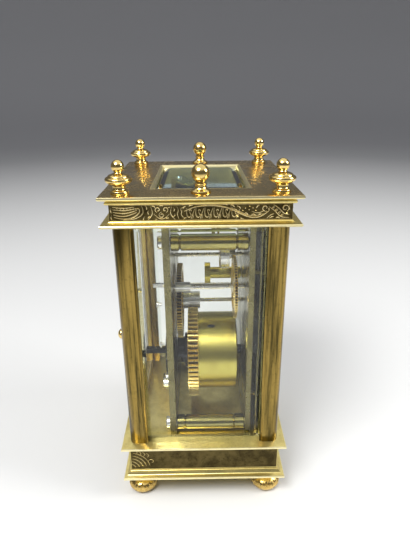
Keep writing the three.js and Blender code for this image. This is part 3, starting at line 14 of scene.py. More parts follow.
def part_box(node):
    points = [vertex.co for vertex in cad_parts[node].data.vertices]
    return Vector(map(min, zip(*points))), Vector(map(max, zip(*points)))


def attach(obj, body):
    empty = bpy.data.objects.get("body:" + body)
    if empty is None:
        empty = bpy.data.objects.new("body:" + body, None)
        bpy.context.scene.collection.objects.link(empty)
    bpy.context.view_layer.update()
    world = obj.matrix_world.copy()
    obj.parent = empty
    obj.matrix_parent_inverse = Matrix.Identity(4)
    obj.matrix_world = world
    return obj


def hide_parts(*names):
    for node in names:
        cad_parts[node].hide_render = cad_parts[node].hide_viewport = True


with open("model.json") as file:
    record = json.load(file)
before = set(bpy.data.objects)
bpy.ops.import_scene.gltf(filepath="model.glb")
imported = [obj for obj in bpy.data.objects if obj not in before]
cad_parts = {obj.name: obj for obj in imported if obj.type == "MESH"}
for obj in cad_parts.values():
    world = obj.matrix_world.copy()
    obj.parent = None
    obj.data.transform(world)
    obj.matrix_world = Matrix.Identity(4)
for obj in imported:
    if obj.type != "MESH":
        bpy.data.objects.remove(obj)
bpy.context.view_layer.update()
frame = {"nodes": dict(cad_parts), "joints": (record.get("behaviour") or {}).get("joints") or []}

nodes = frame["nodes"]
MM = 0.001
print("solids in the frame:", len(nodes))

# %% [markdown]
# The camera stands a little above the clock and looks at its left side. Its place, tilt and lens
# were worked out from the edges of the case, which all meet in the picture's vanishing points.
# A matrix of right, up and back directions gives the turn without any guessing of angles.

# %% Camera
CAMERA_PLACE = Vector((-0.17345, 0.0004, 0.1547))
CAMERA_PITCH = math.radians(22.3)
CAMERA_YAW = math.radians(-0.6)
CAMERA_ROLL = math.radians(0.55)
CAMERA_LENS = 30.0

look = Vector((
    math.cos(CAMERA_PITCH) * math.cos(CAMERA_YAW),
    math.cos(CAMERA_PITCH) * math.sin(CAMERA_YAW),
    -math.sin(CAMERA_PITCH),
))
level_right = look.cross(Vector((0, 0, 1))).normalized()
level_up = level_right.cross(look)
right = math.cos(CAMERA_ROLL) * level_right - math.sin(CAMERA_ROLL) * level_up
up = math.sin(CAMERA_ROLL) * level_right + math.cos(CAMERA_ROLL) * level_up
bpy.ops.object.camera_add(location=CAMERA_PLACE)
camera = bpy.context.object
camera.rotation_euler = Matrix((right, up, -look)).transposed().to_euler()
camera.data.lens = CAMERA_LENS
camera.data.sensor_width = 36
camera.data.clip_start = 0.005
bpy.context.scene.camera = camera
print("camera looks along", [round(value, 3) for value in look])

# %% [markdown]
# Every height and place that a piece needs is read from the frame, so a piece always lands on the
# solid that it stands for. The arbors of the clock are the axes of its joints.

# %% Sizes read from the frame, in mm
def at(x, y, z=0.0):
    """The matrix that moves a piece to a place in mm."""
    return Matrix.Translation(Vector((x, y, z)) * MM)


def spin(degrees, axis="Z"):
    """The matrix of a turn about an axis."""
    return Matrix.Rotation(math.radians(degrees), 4, axis)


def box_of(name):
    """The lowest and highest corner of a solid, in mm."""
    low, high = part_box(name)
    return [value / MM for value in low], [value / MM for value in high]


base_low, base_high = box_of("base_plinth")
HALF_WIDTH, HALF_DEPTH, BASE_TOP = base_high
FOOT_HEIGHT = base_low[2]
CORNICE_BOTTOM = box_of("cornice_frame")[0][2]
PLATE_BOTTOM = box_of("cornice_frame")[1][2]
PLATE_TOP = box_of("top_plate")[1][2]
ARBORS = {joint["name"]: Vector(joint["pos_m"]) for joint in frame["joints"]}
MOVEMENT_Z = ARBORS["centre_arbor_turn"].z / MM
CORNERS = [("front_left", -1, -1), ("front_right", 1, -1), ("back_left", -1, 1), ("back_right", 1, 1)]
FORWARD = spin(90, "X")
print("case", 2 * HALF_WIDTH, "x", 2 * HALF_DEPTH, "mm, dial centre at", round(MOVEMENT_Z, 2))


def middle_of(name):
    """The middle of a solid, in mm."""
    return [(low + high) / 2 for low, high in zip(*box_of(name))]


def span_of(name):
    """How far a solid reaches back and forward, in mm towards the dial."""
    low, high = box_of(name)
    return -high[1], -low[1]


def on_arbor(joint):
    """The matrix that lays a piece made along Z on an arbor, with its +Z towards the dial."""
    return Matrix.Translation(ARBORS[joint]) @ FORWARD


def in_movement(x, y):
    """The same for a place across and above the dial centre."""
    return at(x, 0, MOVEMENT_Z + y) @ FORWARD


# %% [markdown]
# The pieces are shaped as by hand: a primitive is added, opened in edit mode, and its outline is
# extruded and scaled from height to height. Small helpers keep those steps the same for each
# piece, and clear the selection first, because an operator acts on all that is selected.

# %% Helpers for shaping
def leave_edit():
    bpy.ops.object.mode_set(mode="OBJECT")


def deselect():
    if bpy.context.object and bpy.context.object.mode == "EDIT":
        leave_edit()
    bpy.ops.object.select_all(action="DESELECT")


def smooth(degrees):
    """Smooths the active piece, but not across edges sharper than this."""
    bpy.ops.object.shade_smooth_by_angle(angle=math.radians(degrees))


def take(obj):
    """Makes a piece the only selected one."""
    deselect()
    obj.select_set(True)
    bpy.context.view_layer.objects.active = obj


def open_for_edit(obj):
    take(obj)
    bpy.ops.object.mode_set(mode="EDIT")
    bpy.ops.mesh.select_all(action="SELECT")


def pick(obj, elements, wanted):
    """Opens a piece with only the wanted ones of its elements selected, its edges or its vertices."""
    open_for_edit(obj)
    bpy.ops.mesh.select_all(action="DESELECT")
    leave_edit()
    for element in elements:
        element.select = wanted(element)
    bpy.ops.object.mode_set(mode="EDIT")


def modified(obj, kind, **values):
    """Gives a piece a modifier with these values, and applies it."""
    take(obj)
    bpy.ops.object.modifier_add(type=kind)
    modifier = obj.modifiers[-1]
    for key, value in values.items():
        setattr(modifier, key, value)
    bpy.ops.object.modifier_apply(modifier=modifier.name)
    return obj


MERGE_DISTANCE = 0.001 * MM


def close_edit(obj, smooth_degrees):
    """Merges doubled points, turns all faces outwards and leaves edit mode."""
    bpy.ops.mesh.select_all(action="SELECT")
    bpy.ops.mesh.remove_doubles(threshold=MERGE_DISTANCE)
    bpy.ops.mesh.normals_make_consistent(inside=False)
    leave_edit()
    smooth(smooth_degrees)
    return obj


print("editing helpers ready")

# %% [markdown]
# Most of the clock was turned on a lathe or run as a moulding. Both are an outline that changes its
# size as it rises, so one helper extrudes and scales a circle or a rectangle through a list of
# stations. A ring comes back to where it began, and its doubled points are merged.

# %% Outlines raised to a solid
def raise_stations(stations):
    """Extrudes the selected outline from station to station: (height, half width, half depth) in mm."""
    for before, after in zip(stations, stations[1:]):
        bpy.ops.mesh.extrude_region_move(
            TRANSFORM_OT_translate={"value": (0, 0, (after[0] - before[0]) * MM)}
        )
        bpy.ops.transform.resize(
            value=(after[1] / before[1], after[2] / before[2], 1),
            center_override=(0, 0, after[0] * MM),
        )


def raised(name, stations, ring, smooth_degrees):
    """Draws the outline that was just added up through its stations. A ring ends where it began."""
    obj = bpy.context.object
    obj.name = name
    bpy.ops.object.transform_apply()
    open_for_edit(obj)
    if ring:
        bpy.ops.mesh.delete(type="ONLY_FACE")
        bpy.ops.mesh.select_all(action="SELECT")
    raise_stations(stations)
    return close_edit(obj, smooth_degrees)


def turned(name, profile, sides, smooth_degrees=40, ring=False):
    """A turned piece about Z, from (radius, height) in mm."""
    deselect()
    radius, height = profile[0]
    bpy.ops.mesh.primitive_circle_add(
        vertices=sides, radius=radius * MM, fill_type="NGON", location=(0, 0, height * MM)
    )
    return raised(name, [(z, r, r) for r, z in profile], ring, smooth_degrees)


def framed(name, stations, ring=True):
    """A rectangular moulding from (height, half width, half depth) in mm."""
    deselect()
    height, half_x, half_y = stations[0]
    bpy.ops.mesh.primitive_plane_add(size=2, location=(0, 0, height * MM))
    bpy.context.object.scale = (half_x * MM, half_y * MM, 1)
    return raised(name, stations, ring, 30)


def box(name, low, high):
    """A block between two corners in mm."""
    deselect()
    middle = [(a + b) / 2 * MM for a, b in zip(low, high)]
    bpy.ops.mesh.primitive_cube_add(size=1, location=middle)
    made = bpy.context.object
    made.name = name
    made.scale = [(b - a) * MM for a, b in zip(low, high)]
    bpy.ops.object.transform_apply()
    return made


print("outline helpers ready")

# %% [markdown]
# A finished piece gets its finish, rides on a body of the frame and hides the solids that it stands
# for. What repeats is made once and copied. Each copy has its place in its own mesh and its object
# at the origin, because the export puts every object there.

# %% Cuts, copies and what a piece stands for
def carve(obj, cutter):
    """Cuts one piece out of another, and removes the cutter."""
    modified(obj, "BOOLEAN", object=cutter, operation="DIFFERENCE", solver="EXACT")
    bpy.data.objects.remove(cutter)
    return obj


def carve_box(obj, low, high):
    """Cuts a block out of a piece, between two corners in mm."""
    return carve(obj, box("cutter", low, high))


def linked(name, data):
    """A new piece in the scene."""
    obj = bpy.data.objects.new(name, data)
    bpy.context.scene.collection.objects.link(obj)
    return obj


def copied(source, name, matrix):
    """A copy with its own mesh. A mirrored copy has its faces turned outwards again."""
    twin = linked(name, source.data.copy())
    twin.data.transform(matrix)
    if matrix.determinant() < 0:
        twin.data.flip_normals()
    return twin


def coated(obj, material):
    obj.data.materials.clear()
    obj.data.materials.append(material)


def dressed(obj, material, body="case", stands_for=()):
    """Gives a piece its finish, the body that it moves with and the solids that it stands for."""
    coated(obj, material)
    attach(obj, body)
    if stands_for:
        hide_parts(*stands_for)
    return obj


def scrap(*patterns):
    """Removes the patterns that copies were made from."""
    for pattern in patterns:
        bpy.data.objects.remove(pattern)


deselect()
print("piece helpers ready")

# %% [markdown]
# Blender's node editor is driven from code here. A few short helpers give a node its inputs, mix
# two colours, do a sum or map a range, so that the finishes below read as a list of choices.

# %% Node helpers
def new_material(name):
    """A material, its node tree and its shader."""
    material = bpy.data.materials.new(name)
    material.use_nodes = True
    return material, material.node_tree, material.node_tree.nodes["Principled BSDF"]


def fill(made, values):
    """Gives a node its inputs, by name or number. Each is a socket to link or a plain value."""
    for title, value in values.items():
        if hasattr(value, "is_linked"):
            made.id_data.links.new(value, made.inputs[title])
        else:
            made.inputs[title].default_value = value
    return made


def mixed(tree, factor, first, second):
    """A mix of two colours."""
    made = tree.nodes.new("ShaderNodeMix")
    made.data_type = "RGBA"
    return fill(made, {0: factor, 6: first, 7: second}).outputs[2]


def maths(tree, operation, first, second=0.0, clamp=False):
    made = tree.nodes.new("ShaderNodeMath")
    made.operation = operation
    made.use_clamp = clamp
    return fill(made, {0: first, 1: second}).outputs[0]


def ranged(tree, value, low, high, out_low=0.0, out_high=1.0):
    """Maps a value from one range to another, smoothly and without overshoot."""
    made = tree.nodes.new("ShaderNodeMapRange")
    made.interpolation_type = "SMOOTHSTEP"
    return fill(made, {0: value, 1: low, 2: high, 3: out_low, 4: out_high}).outputs[0]


def own_place(tree):
    """The place on the piece itself, so that a pattern moves with it."""
    return tree.nodes.new("ShaderNodeTexCoord").outputs["Object"]


def stretched(tree, stretch):
    """The place on the piece, stretched along each axis."""
    mapping = tree.nodes.new("ShaderNodeMapping")
    return fill(mapping, {"Vector": own_place(tree), "Scale": stretch}).outputs[0]


def noise(tree, scale, detail=2.0, place=None, roughness=0.5):
    made = tree.nodes.new("ShaderNodeTexNoise")
    values = {"Vector": place or own_place(tree), "Scale": scale, "Detail": detail, "Roughness": roughness}
    return fill(made, values).outputs["Fac"]


def distance_of(tree, first, second):
    """The distance of a place that lies so far off along two axes."""
    squares = [maths(tree, "MULTIPLY", value, value) for value in (first, second)]
    return maths(tree, "SQRT", maths(tree, "ADD", *squares))


def bumped(tree, height, depth, under=None):
    """The normal of a bump, which lies over another one where under is given."""
    made = fill(tree.nodes.new("ShaderNodeBump"), {"Distance": depth, "Height": height})
    if under:
        fill(made, {"Normal": under})
    return made.outputs[0]


def new_group(name, inputs, outputs):
    """A shader node group, its given values and its output node. Sockets are {name: kind}."""
    group = bpy.data.node_groups.new(name, "ShaderNodeTree")
    for way, sockets in (("INPUT", inputs), ("OUTPUT", outputs)):
        for title, kind in sockets.items():
            group.interface.new_socket(title, in_out=way, socket_type=kind)
    return group, group.nodes.new("NodeGroupInput").outputs, group.nodes.new("NodeGroupOutput")


def effect(tree, group, values):
    """What a node group makes of these values."""
    made = tree.nodes.new("ShaderNodeGroup")
    made.node_tree = group
    return fill(made, values).outputs


FLOAT, COLOUR, VECTOR = "NodeSocketFloat", "NodeSocketColor", "NodeSocketVector"
print("node helpers ready")

# %% [markdown]
# Old polished brass is never one yellow. Lacquer has worn off in clouds, the bare metal has
# browned, and small spots sit in it. One node group makes that for every brass piece: a large
# noise for the clouds, a small one for the spots, and a stretch along each axis for streaks.

# %% Patina
patina, given, made = new_group(
    "patina",
    {"Clean": COLOUR, "Aged": COLOUR, "Amount": FLOAT, "Spots": FLOAT, "Scale": FLOAT,
     "Stretch": VECTOR, "Smooth": FLOAT, "Rough": FLOAT},
    {"Colour": COLOUR, "Roughness": FLOAT, "Height": FLOAT},
)
clouds = noise(patina, given["Scale"], 5, stretched(patina, given["Stretch"]), 0.62)
cloud_share = maths(patina, "MULTIPLY", ranged(patina, clouds, 0.36, 0.68), given["Amount"], clamp=True)
spot = ranged(patina, noise(patina, 1100), 0.56, 0.7)
spot_share = maths(patina, "MULTIPLY", spot, given["Spots"], clamp=True)
clouded = mixed(patina, cloud_share, given["Clean"], given["Aged"])
wear = maths(patina, "ADD", cloud_share, maths(patina, "MULTIPLY", spot_share, 0.5), clamp=True)
spread = maths(patina, "SUBTRACT", given["Rough"], given["Smooth"])
fill(made, {
    "Colour": mixed(patina, spot_share, clouded, given["Aged"]),
    "Roughness": maths(patina, "ADD", given["Smooth"], maths(patina, "MULTIPLY", wear, spread)),
    "Height": maths(patina, "SUBTRACT", clouds, maths(patina, "MULTIPLY", spot_share, 0.6)),
})
print("nodes in the patina:", len(patina.nodes))

# %% Fine lines left by the file and the brush
grain, given, made = new_group("grain", {"Stretch": VECTOR}, {"Height": FLOAT})
fill(made, {"Height": noise(grain, 2500, place=stretched(grain, given["Stretch"]))})
print("nodes in the grain:", len(grain.nodes))

# %% [markdown]
# A wheel of the train is brass, but its arbor and pinion are steel, and all are one solid. A group
# with two masks tells them apart by place: steel near the axis and outside the wheel's own slab,
# and painted shade, a dark colour, at the bottom of the teeth. Each wheel gives it its own axis, slab and
# root.

# %% Steel arbors and painted shade in the teeth
# Painted shade: the bottom of the teeth is darkened from the root outwards, but not near the sides of the
# wheel.
TOOTH_SHADE_INSIDE, TOOTH_SHADE_OUTSIDE, UNSHADED_RIM = 0.15 * MM, 0.75 * MM, 0.2 * MM
arbor_zone, given, made = new_group(
    "arbor_zone",
    {"Axis X": FLOAT, "Axis Z": FLOAT, "Hub": FLOAT, "Root": FLOAT, "Low": FLOAT, "High": FLOAT},
    {"Steel": FLOAT, "Tooth Shade": FLOAT},
)


def in_zone(operation, first, second):
    return maths(arbor_zone, operation, first, second)


x, y, z = fill(arbor_zone.nodes.new("ShaderNodeSeparateXYZ"), {0: own_place(arbor_zone)}).outputs
across, above = in_zone("SUBTRACT", x, given["Axis X"]), in_zone("SUBTRACT", z, given["Axis Z"])
distance = distance_of(arbor_zone, across, above)
near = in_zone("LESS_THAN", distance, given["Hub"])
behind, before = in_zone("LESS_THAN", y, given["Low"]), in_zone("GREATER_THAN", y, given["High"])
past_root = in_zone("GREATER_THAN", distance, in_zone("SUBTRACT", given["Root"], TOOTH_SHADE_INSIDE))
outer = in_zone("ADD", given["Root"], TOOTH_SHADE_OUTSIDE)
deep = in_zone("SUBTRACT", 1.0, ranged(arbor_zone, distance, given["Root"], outer))
over_low = in_zone("GREATER_THAN", y, in_zone("ADD", given["Low"], UNSHADED_RIM))
under_high = in_zone("LESS_THAN", y, in_zone("SUBTRACT", given["High"], UNSHADED_RIM))
within = in_zone("MULTIPLY", over_low, under_high)
fill(made, {
    "Steel": in_zone("MAXIMUM", near, in_zone("MAXIMUM", behind, before)),
    "Tooth Shade": in_zone("MULTIPLY", in_zone("MULTIPLY", deep, past_root), within),
})
print("nodes in the arbor zone:", len(arbor_zone.nodes))

# %% [markdown]
# All the brass is one alloy, but each part has aged in its own way: knobs are rubbed, flanges are
# bright and granular, posts are streaked by hands, and the movement is cleaner behind the glass.
# So one function makes every metal, from a clean and an aged colour and how far it has aged.

# %% Metal finishes
DENT_DEPTH, LINE_DEPTH = 0.02 * MM, 0.01 * MM


def worn(tree, clean, aged, amount, spots, scale, smooth, rough, stretch=(1, 1, 1)):
    """Colour, roughness and height of a metal between its clean and its aged state."""
    return effect(tree, patina, {
        "Clean": (*clean, 1), "Aged": (*aged, 1), "Amount": amount, "Spots": spots,
        "Scale": scale, "Smooth": smooth, "Rough": rough, "Stretch": stretch,
    })


def metal(name, clean, aged, amount, spots, scale, smooth=0.12, rough=0.34,
          stretch=(1, 1, 1), bump=DENT_DEPTH, lines=None):
    """A brass or steel finish with its patina, and with fine lines where lines gives their stretch."""
    material, tree, shader = new_material(name)
    skin = worn(tree, clean, aged, amount, spots, scale, smooth, rough, stretch)
    normal = bumped(tree, skin["Height"], bump)
    if lines:
        brushed = effect(tree, grain, {"Stretch": lines})
        normal = bumped(tree, brushed["Height"], LINE_DEPTH, normal)
    fill(shader, {
        "Metallic": 1.0, "Base Color": skin["Colour"], "Roughness": skin["Roughness"], "Normal": normal,
    })
    return material


print("metal function ready")

# %% Brasses of the case and the movement
# After its two colours, each finish has its amount of age, its spots, the scale of its clouds, and
# its roughness where smooth and where rough.
bright_brass = metal("bright_brass", (0.93, 0.70, 0.26), (0.42, 0.26, 0.08), 0.4, 0.2, 160)
flange_brass = metal(
    "flange_brass", (0.92, 0.77, 0.30), (0.58, 0.45, 0.15), 0.5, 0.35, 190, 0.3, 0.5, bump=0.012 * MM
)
# Rubbed edges are worn, and also painted near-white as a highlight.
rubbed_highlight_brass = metal(
    "rubbed_highlight_brass", (1.0, 0.90, 0.52), (0.72, 0.58, 0.24), 0.35, 0.2, 220, 0.3, 0.48, bump=0.01 * MM
)
foot_brass = metal("foot_brass", (0.88, 0.64, 0.22), (0.30, 0.19, 0.05), 0.6, 0.3, 260, 0.18, 0.38)
post_brass = metal(
    "post_brass", (0.34, 0.235, 0.062), (0.055, 0.045, 0.016), 1.0, 0.3, 280, 0.15, 0.34,
    stretch=(2.4, 2.4, 0.1),
)
top_brass = metal("top_brass", (0.86, 0.67, 0.31), (0.38, 0.26, 0.10), 0.55, 0.85, 150, 0.18, 0.42)
# Painted shade: the recessed bands under the flanges are coloured near-black for their shade and dark
# reflection.
band_painted_shade = metal(
    "band_painted_shade", (0.125, 0.095, 0.035), (0.04, 0.03, 0.012), 0.75, 0.6, 260, 0.32, 0.55,
    lines=(0.8, 0.8, 10),
)
relief_brass = metal("relief_brass", (0.86, 0.72, 0.38), (0.42, 0.31, 0.13), 0.5, 0.3, 260, 0.2, 0.42)
engraved_brass = metal("engraved_brass", (0.62, 0.50, 0.22), (0.30, 0.22, 0.09), 0.5, 0.4, 260, 0.26, 0.48)
plate_brass = metal(
    "plate_brass", (0.225, 0.195, 0.085), (0.11, 0.092, 0.036), 0.55, 0.2, 110, 0.24, 0.42,
    lines=(12, 12, 0.6),
)
gilt_brass = metal(
    "gilt_brass", (0.74, 0.61, 0.24), (0.44, 0.35, 0.12), 0.45, 0.25, 90, 0.24, 0.4, lines=(0.6, 8, 8)
)
pillar_brass = metal(
    "pillar_brass", (0.46, 0.40, 0.14), (0.22, 0.18, 0.06), 0.5, 0.2, 140, 0.12, 0.28, lines=(14, 0.6, 14)
)
drum_brass = metal(
    "drum_brass", (0.68, 0.59, 0.145), (0.40, 0.32, 0.09), 0.35, 0.15, 90, 0.22, 0.34, lines=(14, 0.6, 14)
)
print("brasses:", len(bpy.data.materials))

# %% Wheels and steel
# Each is a clean and an aged colour, and the roughness of both.
WHEEL_TONES = ((0.82, 0.64, 0.23), (0.40, 0.28, 0.09), 0.14, 0.34)
STEEL_TONES = ((0.96, 0.96, 0.95), (0.66, 0.64, 0.61), 0.26, 0.42)
wheel_brass = metal("wheel_brass", *WHEEL_TONES[:2], 0.4, 0.15, 180, *WHEEL_TONES[2:])
steel = metal("arbor_steel", *STEEL_TONES[:2], 0.35, 0.2, 260, *STEEL_TONES[2:])
dark_steel = metal("dark_steel", (0.045, 0.047, 0.055), (0.025, 0.023, 0.02), 0.5, 0.3, 200, 0.26, 0.45)
blue_steel = metal("blue_steel", (0.03, 0.05, 0.17), (0.05, 0.04, 0.10), 0.5, 0.0, 300, 0.16, 0.26)
NO_TEETH = 99.0


def arbor_finish(name, axis, low, high, root, hub=1.3):
    """Brass for a wheel from low to high along Y, in mm, and steel for its arbor and pinion.

    Root is the radius at the bottom of the teeth, where shade is painted in. NO_TEETH lies past any wheel.
    """
    material, tree, shader = new_material(name)
    zone = effect(tree, arbor_zone, {
        "Axis X": axis.x, "Axis Z": axis.z, "Hub": hub * MM, "Root": root * MM,
        "Low": low * MM, "High": high * MM,
    })
    brass_skin, steel_skin = [
        worn(tree, clean, aged, 0.4, 0.15, 180.0, smooth, rough)
        for clean, aged, smooth, rough in (WHEEL_TONES, STEEL_TONES)
    ]
    two_metals = mixed(tree, zone["Steel"], brass_skin["Colour"], steel_skin["Colour"])
    fill(shader, {
        "Metallic": 1.0,
        # The near-black here is painted shade in the gaps between the teeth.
        "Base Color": mixed(tree, zone["Tooth Shade"], two_metals, (0.05, 0.035, 0.015, 1)),
        "Roughness": maths(tree, "ADD", steel_skin["Roughness"], maths(tree, "MULTIPLY", zone["Tooth Shade"], 0.3)),
        "Normal": bumped(tree, brass_skin["Height"], DENT_DEPTH),
    })
    return material


print("metal finishes:", len(bpy.data.materials))

# %% [markdown]
# Clear glass lets light through, but a path tracer finds a lamp behind it only by luck. The
# shader is therefore a refracting Principled, and for shadow rays alone it is mixed with a
# transparent one, so the movement inside is lit. The edges carry a faint green.

# %% Glass
def glass(name, tint, bending, haze=0.0):
    """Old plate glass, a little smeared. The lower its bending, or IOR, the less it mirrors the floor."""
    material, tree, shader = new_material(name)
    smear = noise(tree, 60, 4)
    smeared = [0.95 * tone for tone in tint]
    fill(shader, {
        "Transmission Weight": 1.0,
        "IOR": bending,
        "Roughness": ranged(tree, smear, 0.45, 0.75, haze, haze + 0.035),
        "Base Color": mixed(tree, ranged(tree, smear, 0.5, 0.8), (*tint, 1), (*smeared, 1)),
    })
    mix = fill(tree.nodes.new("ShaderNodeMixShader"), {
        0: tree.nodes.new("ShaderNodeLightPath").outputs["Is Shadow Ray"],
        1: shader.outputs[0],
        2: tree.nodes.new("ShaderNodeBsdfTransparent").outputs[0],
    })
    fill(tree.nodes["Material Output"], {"Surface": mix.outputs[0]})
    return material


clear_glass = glass("clear_glass", (0.965, 0.985, 0.965), 1.35)
bevel_glass = glass("bevelled_edge_glass", (0.90, 0.96, 0.86), 1.5, 0.05)
blue_glass = glass("top_window_glass", (0.70, 0.87, 0.94), 1.5, 0.03)
print("glasses made")

# %% [markdown]
# Vitreous enamel is glass fused on copper. It is white right through, a little uneven, and has a
# clear skin, so its shader is a pale dielectric with a coat. The figures are fired in matt black.

# %% White enamel and black figures
white_enamel, tree, shader = new_material("white_enamel")
cloud = noise(tree, 70, 3)
uneven = ranged(tree, cloud, 0.4, 0.7)
fill(shader, {
    "Base Color": mixed(tree, uneven, (0.87, 0.86, 0.82, 1), (0.81, 0.79, 0.73, 1)),
    "Roughness": ranged(tree, cloud, 0.3, 0.7, 0.1, 0.18),
    "Normal": bumped(tree, cloud, 0.03 * MM),
    "Coat Weight": 0.6,
})
black_ink, tree, shader = new_material("black_figures")
thin = ranged(tree, noise(tree, 900), 0.4, 0.7)
fill(shader, {
    "Base Color": mixed(tree, thin, (0.012, 0.012, 0.014, 1), (0.05, 0.05, 0.055, 1)),
    "Roughness": 0.35,
})
print("materials in all:", len(bpy.data.materials))

# %% [markdown]
# The clock stands on a plain pale floor that curves up into a wall on all sides, so no edge of a
# room shows in the polished brass. An even sky lights it from everywhere, and two soft lamps give
# the mouldings their bright lines.

# %% Room
# The wall is (radius, height) in metres.
WALL = [
    (1.0, 0.0), (1.15, 0.012), (1.3, 0.06), (1.42, 0.16), (1.5, 0.3), (1.54, 0.5), (1.55, 0.8), (1.55, 1.45),
]
deselect()
bpy.ops.mesh.primitive_circle_add(vertices=64, radius=WALL[0][0], fill_type="NOTHING")
room = bpy.context.object
room.name = "studio_floor"
open_for_edit(room)
raise_stations([(height / MM, radius, radius) for radius, height in WALL])
leave_edit()
corners = room.data.vertices
pick(room, room.data.edges, lambda edge: all(corners[end].co.z < 1e-6 for end in edge.vertices))
bpy.ops.mesh.edge_face_add()
leave_edit()
bpy.ops.object.shade_smooth()

# Pale round the clock and grey towards the wall.
pale_floor, tree, shader = new_material("pale_floor")
x, y, _ = fill(tree.nodes.new("ShaderNodeSeparateXYZ"), {0: own_place(tree)}).outputs
far = ranged(tree, distance_of(tree, x, y), 0.25, 1.3)
fill(shader, {
    "Base Color": mixed(tree, far, (0.72, 0.72, 0.71, 1), (0.22, 0.22, 0.23, 1)),
    "Roughness": 0.6,
})
room.data.materials.append(pale_floor)
print("room faces:", len(room.data.polygons))

# %% Light
world = bpy.data.worlds.new("soft_sky")
bpy.context.scene.world = world
world.use_nodes = True
fill(world.node_tree.nodes["Background"], {"Color": (0.97, 0.98, 1.0, 1), "Strength": 0.9})
LAMPS_FACE = Vector((0, 0, 0.07))


def lamp(name, place, size, power):
    """A soft square lamp that faces the middle of the clock."""
    deselect()
    bpy.ops.object.light_add(type="AREA", location=place)
    made = bpy.context.object
    made.name = name
    made.data.size = size
    made.data.energy = power
    made.rotation_euler = (LAMPS_FACE - Vector(place)).to_track_quat("-Z", "Y").to_euler()


lamp("key_lamp", (-0.35, 0.25, 0.65), 0.3, 5.0)
lamp("edge_lamp", (-0.1, -0.6, 0.45), 0.25, 3.0)
bpy.context.scene.view_settings.view_transform = "Standard"

# %% [markdown]
# The case is a set of mouldings. Each rectangular moulding starts as a plane, which is extruded
# and scaled from height to height like a stack of drawn outlines. The base is closed at the top,
# where it is the floor of the case, and hollow underneath, so two boxes are cut out of it.

# %% Base
def inset_stations(start, rows):
    """Stations from (height above start, inset) rows, measured in from the widest outline of the case."""
    return [(start + height, HALF_WIDTH - inset, HALF_DEPTH - inset) for height, inset in rows]


BAND_INSET, BASE_BAND = 3.0, (3.18, 14.0)
BASE_WALL, CORNER_BLOCK, FLOOR_THICKNESS = 3.2, 12.0, 2.6
base = framed(
    "base_moulding",
    inset_stations(FOOT_HEIGHT, [
        (0, 0.3), (0.25, 0.0), (0.9, 0.0), (1.12, 0.2), (1.28, 0.75), (1.42, 1.3), (1.62, 1.55), (1.78, 1.65),
        (2.15, 1.85), (2.5, 2.15), (2.6, 2.2), (2.64, 2.5), (2.74, 2.62), (2.88, 2.62), (2.98, 2.7),
        (3.03, 2.92), (BASE_BAND[0], BAND_INSET), (BASE_BAND[1], BAND_INSET), (14.08, 2.7), (14.2, 2.58),
        (14.38, 2.55), (14.5, 2.3), (14.62, 2.0), (14.74, 1.2), (14.86, 0.4), (14.95, 0.08), (15.05, 0.0),
        (15.65, 0.0), (15.82, 0.08), (15.9, 0.3),
    ]),
    ring=False,
)
hollow_x = HALF_WIDTH - BAND_INSET - BASE_WALL
hollow_y = HALF_DEPTH - BAND_INSET - BASE_WALL
ceiling = BASE_TOP - FLOOR_THICKNESS
for half_x, half_y in ((hollow_x, hollow_y - CORNER_BLOCK), (hollow_x - CORNER_BLOCK, hollow_y)):
    carve_box(base, (-half_x, -half_y, FOOT_HEIGHT - 1), (half_x, half_y, ceiling))
dressed(base, flange_brass, stands_for=["base_plinth"])


def paint(obj, material, wanted):
    """Gives a finish of their own to the faces that are wanted by their centre, in mm, and their normal."""
    obj.data.materials.append(material)
    for face in obj.data.polygons:
        if wanted(face.center / MM, face.normal):
            face.material_index = len(obj.data.materials) - 1


def on_edge(place, normal):
    """True for the rubbed edge of a flange, which is painted bright as a highlight."""
    return abs(place.x) > HALF_WIDTH - 0.3 or abs(place.y) > HALF_DEPTH - 0.3


def on_band(start, band):
    """A test for the flat band between two heights above the start of a moulding."""
    def wanted(place, normal):
        outward = max(abs(place.x) / HALF_WIDTH, abs(place.y) / HALF_DEPTH)
        return abs(normal.z) < 0.1 and outward > 0.8 and band[0] < place.z - start < band[1]
    return wanted


# The plinth band gets a near-black finish as painted shade under the flange.
paint(base, band_painted_shade, on_band(FOOT_HEIGHT, BASE_BAND))
# The outermost rims of the base get a painted highlight on their worn brass.
paint(base, rubbed_highlight_brass, on_edge)
print("base faces:", len(base.data.polygons))

# %% Cornice
CORNICE_BAND = (1.76, 6.95)
WINDOW_HALF = (23.2, 15.3)
LEDGE_HALF = (25.1, 17.2)
cornice = framed(
    "cornice_moulding",
    [(CORNICE_BOTTOM, *WINDOW_HALF)] + inset_stations(CORNICE_BOTTOM, [
        (0, 0.3), (0.25, 0.0), (0.7, 0.0), (0.86, 0.15), (0.97, 0.8), (1.05, 1.5), (1.13, 2.1), (1.26, 2.4),
        (1.42, 2.62), (1.5, 2.68), (1.62, 2.75), (CORNICE_BAND[0], BAND_INSET), (CORNICE_BAND[1], BAND_INSET),
        (7.0, 2.7), (7.08, 2.5), (7.18, 2.15), (7.36, 1.94), (7.7, 1.86), (8.02, 1.96), (8.22, 2.3),
        (8.34, 2.85), (8.44, BAND_INSET), (8.8, BAND_INSET),
    ]) + [
        (PLATE_BOTTOM, *LEDGE_HALF), (PLATE_BOTTOM - 1.9, *LEDGE_HALF), (PLATE_BOTTOM - 1.9, *WINDOW_HALF),
        (CORNICE_BOTTOM, *WINDOW_HALF),
    ],
)
dressed(cornice, flange_brass, stands_for=["cornice_frame"])
# The frieze band gets a near-black finish as painted shade under the flange.
paint(cornice, band_painted_shade, on_band(CORNICE_BOTTOM, CORNICE_BAND))
# The outermost rims of the cornice get a painted highlight on their worn brass.
paint(cornice, rubbed_highlight_brass, on_edge)
print("cornice faces:", len(cornice.data.polygons))

